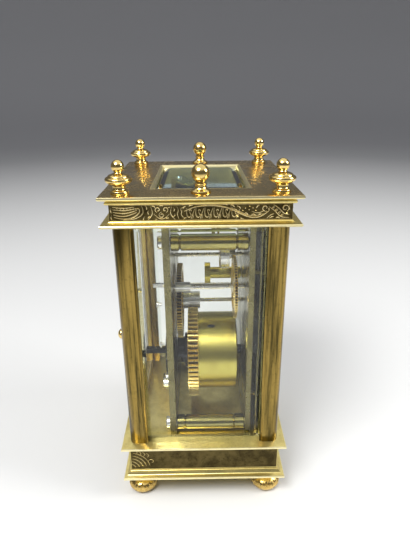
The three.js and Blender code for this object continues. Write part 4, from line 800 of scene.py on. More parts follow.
# %% [markdown]
# Scrolls and leaves are drawn as strokes. Each stroke is a smooth curve that swells in
# the middle and thins at its ends, as a chasing tool leaves it. All strokes of one piece are made
# together and turned into a mesh before they are laid in place.

# %% Strokes
def as_mesh(name, curve):
    """A piece made from a curve."""
    take(linked(name, curve))
    bpy.ops.object.convert(target="MESH")
    return bpy.context.object


def drawn(name, strokes):
    """A mesh of round strokes, each given as (points in mm, radius in mm)."""
    curve = bpy.data.curves.new(name, "CURVE")
    curve.dimensions = "3D"
    curve.bevel_depth = MM
    curve.bevel_resolution = 1
    curve.resolution_u = 3
    curve.use_fill_caps = True
    for points, radius in strokes:
        spline = curve.splines.new("NURBS")
        spline.points.add(len(points) - 1)
        last = len(points) - 1
        for index, place in enumerate(points):
            x, y, z = (*place, 0) if len(place) == 2 else place
            spline.points[index].co = (x * MM, y * MM, z * MM, 1)
            swell = 0.45 + 0.55 * math.sin(math.pi * index / last)
            spline.points[index].radius = radius * swell
        spline.order_u = 3
        spline.use_endpoint_u = True
    obj = as_mesh(name, curve)
    smooth(50)
    return obj


def arc(x, y, radius, start, end, steps, growth=1.0):
    """Points on an arc or a spiral, angles in degrees. Growth is the end radius as a share of the first."""
    points = []
    for step in range(steps + 1):
        share = step / steps
        angle = math.radians(start + share * (end - start))
        reach = radius * (1 + share * (growth - 1))
        points.append((x + reach * math.cos(angle), y + reach * math.sin(angle)))
    return points


print("strokes ready")

# %% [markdown]
# The frieze of such a clock is cast or chased: bright lines of leaf and scroll on a ground painted dark as
# shade.
# A bump map would vanish at the edge and in the exported model, so the ornament is drawn in strokes, half
# sunk in the ground. The same strokes run round all four sides, stretched to fit.

# %% Leaf of the frieze
def shifted(points, across, up=0):
    return [(x + across, y + up) for x, y in points]


# A long ribbed leaf in the arms of two hooks. Each stroke is its points and its radius.
strokes = [
    ([(-27.7, 1.95), (-25.4, 1.55), (-23.0, 1.6), (-20.9, 1.95)], 0.16),
    ([(-27.7, 1.15), (-25.0, 0.75), (-22.5, 0.95), (-20.3, 1.5)], 0.17),
    ([(-27.7, 0.35), (-25.2, -0.25), (-22.6, 0.05), (-20.1, 0.9)], 0.2),
    ([(-27.6, -0.5), (-25.6, -1.15), (-22.8, -0.95), (-20.2, 0.25)], 0.2),
    ([(-27.5, -1.3), (-25.4, -2.0), (-22.4, -1.85), (-20.3, -0.9), (-19.1, 0.5), (-19.6, 1.7),
      (-20.6, 1.2)], 0.2),
    ([(-24.6, -2.3), (-21.4, -2.15), (-18.9, -1.0), (-17.9, 0.6), (-18.6, 2.2)], 0.17),
]
for step in range(6):
    strokes.append((shifted([(0, 1.85), (0.25, 1.35), (0.3, 1.0)], -26.6 + 1.05 * step), 0.11))
print("strokes of the leaf:", len(strokes))

# %% Knot of the frieze
# Three rings between bowed stems.
for x, y, radius, start, turn in (
    (-13.6, 1.0, 0.95, 250, -400), (-11.2, 1.0, 0.95, -70, 400), (-12.4, -0.75, 1.0, 90, 430),
):
    strokes.append((arc(x, y, radius, start, start + turn, 12, 0.3), 0.19))
strokes += [
    ([(-16.7, -2.2), (-15.5, -1.0), (-15.2, 0.5), (-15.7, 2.0)], 0.18),
    ([(-8.2, -2.2), (-9.4, -1.0), (-9.7, 0.5), (-9.2, 2.0)], 0.18),
    ([(-14.9, -0.3), (-13.9, -1.5), (-12.4, -2.15), (-10.9, -1.5), (-9.9, -0.3)], 0.15),
    ([(-7.6, 2.0), (-6.9, 0.8), (-7.7, -0.4), (-7.0, -2.0)], 0.16),
    ([(-5.6, 1.8), (-6.6, 1.2), (-5.9, 0.3), (-6.5, -0.6), (-5.5, -1.6)], 0.18),
]
print("strokes with the knot:", len(strokes))

# %% Arcade of the frieze
# Hooks and slanting stems under one long wave.
ARCADE_STEP = 2.85
for step in range(6):
    x = -4.4 + ARCADE_STEP * step
    peak = 1.15 + 0.42 * math.sin(math.pi * (step + 1) / 7)
    hook = [(0, peak), (-0.25, -0.5), (0.35, -1.65), (1.15, -1.5), (1.3, -0.6)]
    stem = [(1.25, -2.15), (1.7, -0.6), (2.5, peak - 0.1)]
    strokes += [(shifted(hook, x), 0.18), (shifted(stem, x), 0.16)]
    strokes.append((arc(x + 1.1, 0.55, 0.42, 200, -60, 6, 0.5), 0.13))
wave = [
    (-5.2, 0.4), (-2.6, 1.75), (1.5, 2.2), (5.5, 2.1), (9.4, 1.1), (12.4, -0.5), (15.0, -1.7),
    (17.6, -1.95), (19.8, -1.2), (21.4, 0.2),
]
strokes += [(wave, 0.24), (shifted(wave[4:9], -0.1, 0.55), 0.13)]
print("strokes with the arcade:", len(strokes))

# %% Seeds, a curl and a pierced ribbon at the end of the wave
strokes.append((arc(20.3, 1.15, 1.15, 300, -30, 12, 0.35), 0.17))
strokes.append((arc(26.6, 1.05, 1.25, -60, 380, 14, 0.25), 0.17))
for x, y in ((14.0, 1.2), (15.2, 0.7), (16.4, 1.25), (15.3, 1.8), (17.3, 0.45), (13.2, 0.5)):
    strokes.append((shifted([(-0.2, 0), (0, 0), (0.2, 0)], x, y), 0.27))
strokes += [
    ([(16.0, 0.1), (17.6, -0.5), (19.2, -0.1), (20.2, 0.5)], 0.16),
    ([(21.3, 1.6), (23.0, 0.6), (24.4, -1.0), (25.6, -2.0), (27.9, -2.0)], 0.17),
    ([(22.8, 2.2), (24.4, 1.3), (25.7, -0.2), (26.6, -0.9), (27.9, -1.0)], 0.17),
]
for step in range(4):
    strokes.append((arc(22.9 + 0.95 * step, 1.35 - 0.85 * step, 0.3, 0, 360, 6), 0.11))
strokes.append(([(20.8, -2.2), (22.1, -0.9), (23.2, -0.7)], 0.15))
print("strokes with the ribbon:", len(strokes))

# %% Small leaves that fill the ground, and the two borders
# Each leaf is a bent stroke: (x, y, angle, length).
for x, y, angle, length in (
    (-18.0, -1.9, 70, 1.6), (-17.3, 1.7, -70, 1.5), (-16.5, 0.2, 85, 1.3), (-16.4, -1.5, 40, 1.0),
    (-14.9, 1.9, -20, 1.1), (-10.0, 1.9, 200, 1.1), (-14.2, -1.9, 160, 0.9), (-10.6, -1.9, 20, 0.9),
    (-12.45, 2.15, 0, 1.0), (-8.6, 1.1, -80, 1.3), (-8.5, -0.7, 250, 1.2), (-5.1, -2.0, 30, 1.0),
    (-5.2, 1.6, 30, 1.1), (-3.2, 2.1, 10, 1.2), (7.6, 2.3, -8, 1.4), (9.9, 1.9, -25, 1.5),
    (11.9, 1.5, -35, 1.4), (12.9, -1.9, 150, 1.6), (14.3, -0.6, -30, 1.2), (11.4, -1.2, 130, 1.1),
    (16.6, -1.0, -5, 1.3), (17.9, 1.6, 40, 1.3), (18.6, -1.0, 25, 1.1), (21.6, 0.9, 80, 1.1),
    (22.4, -1.9, 20, 1.4), (24.3, -2.1, 5, 1.2), (27.4, -0.4, 80, 1.1), (28.0, 1.2, 90, 1.4),
    (-28.2, 0.9, 90, 1.6), (-28.2, -1.4, 90, 1.4),
):
    across, along = math.cos(math.radians(angle)), math.sin(math.radians(angle))
    bent = [
        (length * share * across - 0.22 * side * along, length * share * along + 0.22 * side * across)
        for share, side in ((-0.5, 0), (-0.15, 1), (0.2, 1), (0.5, 0))
    ]
    strokes.append((shifted(bent, x, y), 0.2))
for step in range(6):
    x = -3.6 + ARCADE_STEP * step
    strokes.append((shifted([(0, 0.3), (0.2, -0.5), (0.55, -0.9)], x), 0.17))
    strokes.append((shifted([(1.15, -0.5), (1.25, -1.2), (0.95, -2.0)], x), 0.13))
for level in (-2.5, 2.5):
    strokes.append((shifted([(-28.6, 0), (-14, 0), (0, 0), (14, 0), (28.6, 0)], 0, level), 0.11))
print("strokes in all:", len(strokes))

# %% The frieze on the four sides
SIDES = [
    ("front", 0, HALF_DEPTH, HALF_WIDTH), ("left", -90, HALF_WIDTH, HALF_DEPTH),
    ("back", 180, HALF_DEPTH, HALF_WIDTH), ("right", 90, HALF_WIDTH, HALF_DEPTH),
]


def on_side(degrees, out, height, stretch, depth):
    """The matrix that hangs a flat drawing on a side of the case, upright and facing out."""
    return spin(degrees) @ at(0, -out, height) @ FORWARD @ Matrix.Diagonal((stretch, 1, depth, 1))


DRAWN_HALF, FRIEZE_BOLDNESS = 29.0, 1.3
frieze = drawn("frieze", [(points, FRIEZE_BOLDNESS * radius) for points, radius in strokes])
band_middle = CORNICE_BOTTOM + sum(CORNICE_BAND) / 2
for side, degrees, out, half_length in SIDES:
    stretch = (half_length - BAND_INSET) / DRAWN_HALF
    piece = copied(frieze, "frieze_" + side, on_side(degrees, out - BAND_INSET, band_middle, stretch, 0.9))
    dressed(piece, relief_brass)
print("frieze faces on each side:", len(frieze.data.polygons))
scrap(frieze)

# %% Engraving at the ends of the plinth
# Bowed hatching that fans out of the lower corner, as a graver leaves it.
hatching = [(arc(-29.4, -5.1, 2.0 + 1.45 * step, 10, 80, 7), 0.17) for step in range(5)]
for step in range(4):
    mark = [(0, -0.7), (0.8, -0.1), (0.6, 0.9), (-0.3, 1.4)]
    hatching.append((shifted(mark, -27.2 + 1.5 * step, 2.6 - 0.5 * step), 0.16))
hatching.append((arc(-21.0, -1.8, 1.5, 240, -80, 9, 0.35), 0.16))
plinth_lines = drawn("plinth_lines", hatching)
for side, degrees, out, half_length in SIDES:
    stretch = (half_length - BAND_INSET) / DRAWN_HALF
    place = on_side(degrees, out - BAND_INSET, FOOT_HEIGHT + 8.7, stretch, 0.8)
    piece = copied(plinth_lines, "plinth_engraving_" + side, place)
    dressed(piece, engraved_brass)
scrap(plinth_lines)
print("strokes of the engraving:", len(hatching))

# %% [markdown]
# The top is a thin plate with a rounded edge and a window with a polished chamfer. The glass lies
# almost level with it. The plate has been handled most, so it is tarnished and specked, while its
# edges and the chamfer are rubbed bright and painted as a highlight, which is why they get a finish of their
# own.

# %% Top plate with its window
top = framed(
    "top_plate_cover",
    inset_stations(PLATE_BOTTOM, [(0, 0.45), (0.2, 0.12), (0.4, 0.0), (0.8, 0.0), (1.05, 0.12), (1.2, 0.45)])
    + [(PLATE_TOP, 24.7, 16.8), (PLATE_TOP + 0.1, 24.45, 16.55), (PLATE_TOP + 0.1, 24.25, 16.35),
       (PLATE_TOP - 0.45, 23.45, 15.55), (PLATE_BOTTOM, *WINDOW_HALF),
       (PLATE_BOTTOM, HALF_WIDTH - 0.45, HALF_DEPTH - 0.45)],
)
dressed(top, top_brass, stands_for=["top_plate"])
# The top plate's edges and chamfer get a painted highlight on their worn brass.
paint(
    top, rubbed_highlight_brass,
    lambda place, normal: (abs(place.x) < 24.9 and abs(place.y) < 17.0) or place.z < PLATE_TOP - 0.1,
)
print("top plate from", round(PLATE_BOTTOM, 2), "to", round(PLATE_TOP, 2))

# %% [markdown]
# The finials and feet were turned on a lathe, so they are made as on one: an outline of radius and
# height is swept round the axis. One urn, one ball and one foot are made, and copied to their places.

# %% Turned finials
def softened(points):
    """Cuts the corners of a profile, so that it turns smoothly. The two ends stay."""
    cut = [points[0]]
    for (a, b), (c, d) in zip(points, points[1:]):
        cut.append((0.75 * a + 0.25 * c, 0.75 * b + 0.25 * d))
        cut.append((0.25 * a + 0.75 * c, 0.25 * b + 0.75 * d))
    return cut + [points[-1]]


def stood_on(pattern, prefix, solid_prefix, ends, height, material):
    """Copies a turned piece to the places of its solids, and removes the pattern."""
    for end in ends:
        x, y, _ = middle_of(solid_prefix + end)
        piece = copied(pattern, prefix + end, at(x, y, height))
        dressed(piece, material, stands_for=[solid_prefix + end])
    scrap(pattern)


def ball_outline(centre, radius, first):
    """The outline of a ball from an angle below its middle up to its top, in steps of nine degrees."""
    return [
        (radius * math.sin(math.radians(angle)), centre - radius * math.cos(math.radians(angle)))
        for angle in range(first, 181, 9)
    ]


urn_profile = [
    (2.9, 0), (3.05, 0.2), (3.05, 0.75), (2.85, 1.0), (2.35, 1.15), (2.15, 1.4), (2.05, 1.85), (2.05, 2.4),
    (2.2, 2.7), (2.6, 2.85), (3.3, 3.1), (3.95, 3.5), (4.3, 4.0), (4.35, 4.35), (4.3, 4.7), (4.05, 5.0),
    (3.6, 5.15), (3.45, 5.2), (3.4, 5.45), (3.1, 5.75), (2.4, 6.05), (1.7, 6.25), (1.4, 6.4), (1.3, 6.6),
]
URN_BALL = ball_outline(8.38, 2.07, 36)
BALL_CENTRE, BALL_RADIUS = 6.06, 2.93
ball_profile = [
    (3.1, 0), (3.3, 0.2), (3.3, 0.65), (3.1, 0.88), (2.55, 1.02), (2.15, 1.3), (1.85, 1.8), (1.75, 2.3),
    (1.85, 2.55), (2.05, 2.65), (2.08, 2.9), (1.9, 3.1), (1.6, 3.25), (1.55, 3.45),
] + ball_outline(BALL_CENTRE, BALL_RADIUS, 36)
urn = turned("corner_finial", softened(urn_profile) + URN_BALL, sides=56)
ball = turned("ball_finial", ball_profile, sides=56)
CORNER_NAMES = [corner for corner, _, _ in CORNERS]
stood_on(urn, "urn_finial_", "corner_finial_", CORNER_NAMES, PLATE_TOP, bright_brass)
stood_on(ball, "round_finial_", "ball_finial_", ("left", "right"), PLATE_TOP, bright_brass)
print("finials made")

# %% Bun feet with a chased leaf pattern
def assembled(pieces, name):
    """Joins several meshes into one piece."""
    deselect()
    for piece in pieces:
        piece.select_set(True)
    bpy.context.view_layer.objects.active = pieces[0]
    bpy.ops.object.join()
    pieces[0].name = name
    return pieces[0]


foot_profile = [
    (2.7, 0), (3.3, 0.06), (4.3, 0.4), (5.1, 1.05), (5.6, 1.9), (5.8, 2.7), (5.7, 3.6), (5.25, 4.5),
    (4.4, 5.25), (3.5, 5.8), (2.75, 6.2), (2.45, 6.55), (2.45, 7.15), (2.75, 7.4), (3.6, 7.6), (3.85, 7.9),
    (3.85, 8.5), (3.6, 8.8), (3.0, 8.95), (2.9, 9.15), (2.9, 9.5),
]


def foot_radius(height):
    """The radius of the bun at a height, from its profile."""
    for (r0, z0), (r1, z1) in zip(foot_profile, foot_profile[1:]):
        if z0 <= height <= z1:
            return r0 + (r1 - r0) * (height - z0) / (z1 - z0)
    return foot_profile[-1][0]


LEAF_STEPS, LEAF_ANGLE = 8, 36


def leaf_outline(turn, spread, low, high):
    """One pointed leaf on the bun: up one side and down the other."""
    points = []
    for step in range(2 * LEAF_STEPS + 1):
        share = 1 - abs(step / LEAF_STEPS - 1)
        side = -1 if step < LEAF_STEPS else 1
        height = low + share * (high - low)
        angle = math.radians(turn + side * spread * math.cos(share * math.pi / 2))
        radius = foot_radius(height) - 0.03
        points.append((radius * math.cos(angle), radius * math.sin(angle), height))
    return points


leaves = []
for turn in range(0, 360, LEAF_ANGLE):
    leaves.append((leaf_outline(turn, 14, 1.7, 5.2), 0.24))
    leaves.append((leaf_outline(turn, 5, 2.3, 4.4), 0.2))
    leaves.append((leaf_outline(turn + LEAF_ANGLE / 2, 3, 2.9, 5.4), 0.17))
foot = turned("foot", softened(foot_profile), sides=56)
foot = assembled([foot, drawn("foot_leaves", leaves)], "foot")
stood_on(foot, "bun_foot_", "foot_", CORNER_NAMES, 0, foot_brass)
print("feet made")

# %% [markdown]
# A corner post is a square bar with a rounded outer edge, a small step beside it, and grooves for
# the glass. It starts as a box. The edge is rounded by the bevel operator, and the steps and
# grooves are cut by boxes. The back posts have one groove, because the door closes against them.

# %% Corner posts
post_low, post_high = box_of("corner_post_back_right")
POST_HALF = (post_high[0] - post_low[0]) / 2
POST_X, POST_Y, _ = middle_of("corner_post_back_right")
side_glass_low, side_glass_high = box_of("side_glass_right")
front_glass_low, front_glass_high = box_of("front_glass")
POST_ROUNDING, STEP_DEPTH, STEP_WIDTH, GROOVE_DEPTH = 2.6, 0.5, 0.9, 1.5
# The room that a piece keeps to its neighbour, in mm.
FIT = 0.3


def bevelled(obj, width):
    """Rounds the sharp edges. The large faces decide the normals, so a plate shines flat up to its bevels."""
    modified(
        obj, "BEVEL", width=width * MM, segments=2, limit_method="ANGLE", angle_limit=math.radians(25)
    )
    smooth(40)
    return modified(obj, "WEIGHTED_NORMAL", keep_sharp=True, weight=100)


def build_post(second_groove):
    post = box("post", (-POST_HALF, -POST_HALF, BASE_TOP), (POST_HALF, POST_HALF, CORNICE_BOTTOM))
    corners = post.data.vertices
    pick(post, post.data.edges, lambda edge: all(min(corners[end].co.xy) > 0 for end in edge.vertices))
    bpy.ops.mesh.bevel(offset=POST_ROUNDING * MM, segments=10, affect="EDGES")
    leave_edit()
    low, high = BASE_TOP - 1, CORNICE_BOTTOM + 1
    beyond = POST_HALF + 1
    step, shoulder = POST_HALF - STEP_DEPTH, STEP_WIDTH - POST_HALF
    for start, end in (((step, -beyond), (beyond, shoulder)), ((-beyond, step), (shoulder, beyond))):
        carve_box(post, (*start, low), (*end, high))
    floor = GROOVE_DEPTH - POST_HALF
    near, far = side_glass_low[0] - FIT - POST_X, side_glass_high[0] + FIT - POST_X
    carve_box(post, (near, -beyond, low), (far, floor, high))
    if second_groove:
        near, far = -front_glass_high[1] - FIT - POST_Y, -front_glass_low[1] + FIT - POST_Y
        carve_box(post, (-beyond, near, low), (floor, far, high))
    return bevelled(post, 0.14)


for second_groove in (True, False):
    pattern = build_post(second_groove)
    for corner, sx, sy in CORNERS:
        if (sy < 0) == second_groove:
            x, y, _ = middle_of("corner_post_" + corner)
            mirror = at(x, y) @ Matrix.Diagonal((sx, sy, 1, 1))
            piece = copied(pattern, "post_" + corner, mirror)
            dressed(piece, post_brass, stands_for=["corner_post_" + corner])
    scrap(pattern)
print("posts made, centres at", round(POST_X, 2), round(POST_Y, 2))

# %% [markdown]
# The back door is a glazed frame that swings on two pins. Its own solid has the right shape, so a
# copy of it gets small bevels, which catch the light as filed edges do. The knob is turned.

# %% Back door and its knob
def refined(solid, name, width, material, body="case"):
    """A copy of a solid that stands for it, its triangles merged and its sharp edges broken."""
    twin = linked(name, nodes[solid].data.copy())
    open_for_edit(twin)
    bpy.ops.mesh.remove_doubles(threshold=MERGE_DISTANCE)
    bpy.ops.mesh.dissolve_limited(angle_limit=math.radians(1))
    leave_edit()
    return dressed(bevelled(twin, width), material, body, [solid])


refined("back_door_frame", "door_frame", 0.22, flange_brass, "back_door")
door_face = box_of("back_door_frame")[1][1]
knob_profile = [
    (0.7, -1.4), (0.8, -1.3), (0.8, 0.1), (1.15, 0.15), (1.2, 0.35), (1.1, 0.55), (0.75, 0.7), (0.68, 0.95),
    (0.85, 1.2), (1.45, 1.4), (1.8, 1.7), (1.9, 2.15), (1.8, 2.6), (1.45, 3.0), (0.95, 3.3), (0.4, 3.47),
    (0.0, 3.5),
]
knob = turned("door_knob", softened(knob_profile), sides=40)
knob_x, _, knob_z = middle_of("back_door_knob")
knob.data.transform(at(knob_x, door_face, knob_z) @ spin(-90, "X"))
dressed(knob, bright_brass, body="back_door", stands_for=["back_door_knob"])
print("door face at", round(door_face, 2))

# %% [markdown]
# The movement stands between two plates, held apart by four turned pillars. The plates keep the
# form of their solids, with their edges broken by a file. The pillars and screws are turned, and
# their screw slots are sawn by a thin box, each turned to a different angle as real screws end up.

# %% Plates, pillars and screws
for name in ("front_plate", "back_plate"):
    plate = refined(name, "movement_" + name, 0.14, plate_brass)
    if name == "back_plate":
        paint(plate, gilt_brass, lambda place, normal: normal.y > 0.9)

pillar_back, pillar_front = span_of("pillar_top_left")
shoulder = span_of("front_plate")[0] - FIT
PILLAR_GROOVES = (0.12, 0.85)
pillar_profile = [(2.65, pillar_back), (2.9, pillar_back + 0.25)]
for share in PILLAR_GROOVES:
    middle = pillar_back + share * (shoulder - pillar_back)
    pillar_profile += [
        (radius, middle + offset)
        for radius, offset in ((2.9, -0.45), (2.6, -0.3), (2.35, 0), (2.6, 0.3), (2.9, 0.45))
    ]
pillar_profile += [(2.9, shoulder - 0.25), (2.65, shoulder), (1.5, shoulder), (1.5, pillar_front)]
pillar = turned("pillar", pillar_profile, sides=48, smooth_degrees=30)


def screw_pattern(name, radius, height, stem, stem_length):
    """A cheese-headed screw with its head up, seated at height zero."""
    made = turned(
        name,
        [(stem, -stem_length), (stem, 0), (radius, 0), (radius, 0.75 * height),
         (0.93 * radius, 0.93 * height), (0.8 * radius, height)],
        sides=32, smooth_degrees=30,
    )
    slot = 0.15 * radius
    return carve_box(made, (-2 * radius, -slot, 0.6 * height), (2 * radius, slot, 2 * height))


PLATE_REAR, PLATE_FACE = span_of("back_plate")
head_up = spin(180, "X")
HEAD_HEIGHT = 1.5
plate_screw = screw_pattern("screw", 2.3, HEAD_HEIGHT, 1.2, 2.9)
screw_seat = span_of("pillar_screw_top_left")[0] + HEAD_HEIGHT
for end in ("bottom_left", "bottom_right", "top_left", "top_right"):
    x, _, z = middle_of("pillar_" + end)
    y = z - MOVEMENT_Z
    piece = copied(pillar, "turned_pillar_" + end, in_movement(x, y))
    dressed(piece, pillar_brass, stands_for=["pillar_" + end])
    seat = at(0, 0, screw_seat) @ head_up @ spin(math.degrees(x + y))
    piece = copied(plate_screw, "plate_screw_" + end, in_movement(x, y) @ seat)
    dressed(piece, steel, stands_for=["pillar_screw_" + end])
scrap(pillar, plate_screw)
print("pillars from", round(pillar_back, 1), "to", round(pillar_front, 1), "screw seat", round(screw_seat, 1))

# %% [markdown]
# The going barrel is a drum with the great wheel cut on its back rim. It is hollow, because the
# mainspring coils inside it. The wheel starts as a circle at the root of the teeth. Of every six
# points, two are scaled outwards to the flanks and two to the tips, and the whole is extruded.

# %% Great wheel and drum
POINTS_PER_TOOTH = 6
FLANK_POINTS, TIP_POINTS = (1, 4), (2, 3)
ADDENDUM, DEDENDUM = 0.95, 1.2


def root_radius(teeth, module):
    """The radius at the bottom of the teeth."""
    return (teeth / 2 - DEDENDUM) * module


def gear(name, teeth, module, phase, back, front):
    """A toothed blank: a circle at the root, with the tips of its teeth scaled outwards, then extruded."""
    pitch = teeth * module / 2
    root = root_radius(teeth, module)
    deselect()
    bpy.ops.mesh.primitive_circle_add(
        vertices=teeth * POINTS_PER_TOOTH, radius=root * MM, fill_type="NGON", location=(0, 0, back * MM)
    )
    obj = bpy.context.object
    obj.name = name
    bpy.ops.object.transform_apply()
    tooth = 360 / teeth
    obj.data.transform(spin(phase - 90 - 2.5 * tooth / POINTS_PER_TOOTH))
    for members, radius in ((FLANK_POINTS, pitch), (TIP_POINTS, pitch + ADDENDUM * module)):
        pick(obj, obj.data.vertices, lambda vertex: vertex.index % POINTS_PER_TOOTH in members)
        bpy.ops.transform.resize(value=(radius / root, radius / root, 1), center_override=(0, 0, back * MM))
    bpy.ops.mesh.select_all(action="SELECT")
    raise_stations([(back, 1, 1), (front, 1, 1)])
    return close_edit(obj, 30)


def bore(obj, radius, back, front, sides=64):
    """Cuts a round hole into a piece about Z."""
    carve(obj, turned("cutter", [(radius, back), (radius, front)], sides))


GREAT_BACK, DRUM_FRONT = span_of("barrel")
GREAT_TEETH, GREAT_MODULE, GREAT_THICKNESS = 60, 0.62, 4.1
GREAT_FRONT = GREAT_BACK + GREAT_THICKNESS
ON_BARREL = on_arbor("barrel_turn")
DRUM_RADIUS, DRUM_WALL, WEB, BARREL_BORE = 16.0, 1.1, 1.2, 2.1
to_centre = ARBORS["centre_arbor_turn"] - ARBORS["barrel_turn"]
great_phase = math.degrees(math.atan2(to_centre.z, to_centre.x))
great_wheel = gear("great_wheel", GREAT_TEETH, GREAT_MODULE, great_phase, GREAT_BACK, GREAT_FRONT)
drum_inner = DRUM_RADIUS - DRUM_WALL
bore(great_wheel, drum_inner, GREAT_BACK + WEB, GREAT_FRONT + 1)
bore(great_wheel, BARREL_BORE, GREAT_BACK - 1, GREAT_FRONT + 1, 32)
great_wheel.data.transform(ON_BARREL)
great_metals = arbor_finish(
    "great_wheel_metals", ARBORS["barrel_turn"], -GREAT_FRONT, -GREAT_BACK,
    root=root_radius(GREAT_TEETH, GREAT_MODULE), hub=0.5,
)
dressed(great_wheel, great_metals, body="going_barrel", stands_for=["barrel"])

drum = turned(
    "barrel_drum",
    [(15.6, GREAT_FRONT), (DRUM_RADIUS, GREAT_FRONT), (DRUM_RADIUS, DRUM_FRONT - 0.25), (15.85, DRUM_FRONT),
     (drum_inner + 0.15, DRUM_FRONT), (drum_inner, DRUM_FRONT - 0.15), (drum_inner, GREAT_FRONT),
     (15.6, GREAT_FRONT)],
    sides=128, smooth_degrees=30, ring=True,
)
rivet = turned(
    "spring_hook_rivet", [(1.5, -0.6), (1.5, 0.02), (1.3, 0.1), (0.9, 0.14)], sides=32, smooth_degrees=30
)
oval = Matrix.Diagonal((1.05, 0.5, 1, 1))
rivet_place = spin(-66) @ at(-DRUM_RADIUS, 0, GREAT_FRONT + 5.3) @ spin(-90, "Y") @ oval
rivet.data.transform(ON_BARREL @ rivet_place)
dressed(rivet, dark_steel, body="going_barrel")
drum.data.transform(ON_BARREL)
dressed(drum, drum_brass, body="going_barrel", stands_for=["barrel"])

cap = turned(
    "barrel_cover",
    [(radius, DRUM_FRONT + offset) for radius, offset in (
        (BARREL_BORE, -0.95), (14.5, -0.95), (14.6, -0.85), (14.6, 0.05), (14.3, 0.3), (13.2, 0.3),
        (13.0, 0.15), (5.0, 0.15), (4.8, 0.3), (2.3, 0.3), (BARREL_BORE, 0.2), (BARREL_BORE, -0.95),
    )],
    sides=96, smooth_degrees=30, ring=True,
)
cap.data.transform(ON_BARREL)
dressed(cap, drum_brass, body="going_barrel", stands_for=["barrel_cap"])
print("barrel made, teeth point at", round(great_phase, 1))

# %% [markdown]
# A spring is a thin strip wound in a spiral. A spiral line is extruded into a ribbon, and the
# Solidify modifier gives the ribbon its thickness. The hairspring is made in the same way.

# %% Mainspring
def ribbon(name, inner, outer, turns, back, front, thickness, steps_per_turn=40):
    """A spiral strip about Z, from the inner radius to the outer one, in mm."""
    steps = int(turns * steps_per_turn)
    curve = bpy.data.curves.new(name, "CURVE")
    curve.dimensions = "3D"
    spline = curve.splines.new("POLY")
    spline.points.add(steps)
    for step in range(steps + 1):
        share = step / steps
        angle = 2 * math.pi * turns * share
        radius = inner + (outer - inner) * share
        spline.points[step].co = (radius * math.cos(angle) * MM, radius * math.sin(angle) * MM, back * MM, 1)
    obj = as_mesh(name, curve)
    open_for_edit(obj)
    raise_stations([(back, 1, 1), (front, 1, 1)])
    close_edit(obj, 40)
    modified(obj, "SOLIDIFY", thickness=thickness * MM, offset=0)
    smooth(40)
    return obj


mainspring = ribbon("mainspring_ribbon", 4.2, 14.3, 9, *span_of("mainspring"), 0.3)
mainspring.data.transform(ON_BARREL)
dressed(mainspring, blue_steel, body="going_barrel", stands_for=["mainspring"])
print("mainspring faces:", len(mainspring.data.polygons))

# %% Barrel arbor with its collar and winding square
ARBOR_BACK, ARBOR_FRONT = span_of("barrel_arbor")
RATCHET_BACK, RATCHET_FRONT = span_of("ratchet_wheel")
flange_front = GREAT_BACK - FIT
flange_back = flange_front - 1.3
arbor = turned(
    "barrel_arbor_turned",
    [(1.5, RATCHET_FRONT), (1.8, RATCHET_FRONT + 0.1), (1.8, PLATE_FACE + FIT), (5.3, PLATE_FACE + FIT),
     (5.5, PLATE_FACE + 0.5), (5.5, flange_back), (7.0, flange_back), (7.2, flange_back + 0.2),
     (7.2, flange_front - 0.2), (7.0, flange_front), (1.8, flange_front), (1.8, GREAT_BACK + 1.6),
     (3.6, GREAT_BACK + 1.6), (3.6, DRUM_FRONT - 1.3), (1.8, DRUM_FRONT - 1.3), (1.8, ARBOR_FRONT - 0.2),
     (1.5, ARBOR_FRONT)],
    sides=56, smooth_degrees=30,
)
seat = box("seat", (-1.27, -1.27, RATCHET_BACK - 0.3), (1.27, 1.27, RATCHET_FRONT + 0.2))
square = box("square", (-1.17, -1.17, ARBOR_BACK), (1.17, 1.17, RATCHET_BACK))
arbor = assembled([arbor, bevelled(seat, 0.1), bevelled(square, 0.18)], "barrel_arbor_turned")
arbor.data.transform(on_arbor("winding_arbor_turn"))
dressed(arbor, dark_steel, body="winding_arbor", stands_for=["barrel_arbor"])
print("arbor from", round(ARBOR_BACK, 1), "to", round(ARBOR_FRONT, 1))

# %% [markdown]
# Ratchet, click, platform, bridge and cock keep the form of their solids with finer edges. The
# balance is made new: a ring with two arms and timing screws round its rim, on a stepped staff.

# %% Winding work and escapement plates
refined("ratchet_wheel", "ratchet", 0.08, dark_steel, "winding_arbor")
refined("click", "click_arm", 0.12, steel, "ratchet_click")
refined("click_spring", "click_spring_strip", 0.08, steel)
refined("platform", "escapement_platform", 0.14, plate_brass)
refined("escapement_bridge", "train_bridge", 0.1, drum_brass)
refined("balance_cock", "cock", 0.14, drum_brass)

# %% Balance with its timing screws, and the hairspring
balance_low, balance_high = box_of("balance_wheel")
hair_low, hair_high = box_of("hairspring")
bridge_top = box_of("escapement_bridge")[1][2]
platform_low, platform_high = box_of("platform")
RIM_LOW, RIM_HIGH = bridge_top + FIT, hair_low[2] - FIT
RIM_OUTER, RIM_INNER = 7.0, 6.0
rim = turned(
    "balance_rim",
    [(RIM_OUTER - 0.1, RIM_LOW), (RIM_OUTER, RIM_LOW + 0.1), (RIM_OUTER, RIM_HIGH - 0.1),
     (RIM_OUTER - 0.1, RIM_HIGH), (RIM_INNER + 0.1, RIM_HIGH), (RIM_INNER, RIM_HIGH - 0.1),
     (RIM_INNER, RIM_LOW + 0.1), (RIM_INNER + 0.1, RIM_LOW), (RIM_OUTER - 0.1, RIM_LOW)],
    sides=96, smooth_degrees=30, ring=True,
)
arms = bevelled(box("arms", (-6.3, -0.6, RIM_LOW + 0.1), (6.3, 0.6, RIM_HIGH - 0.1)), 0.08)
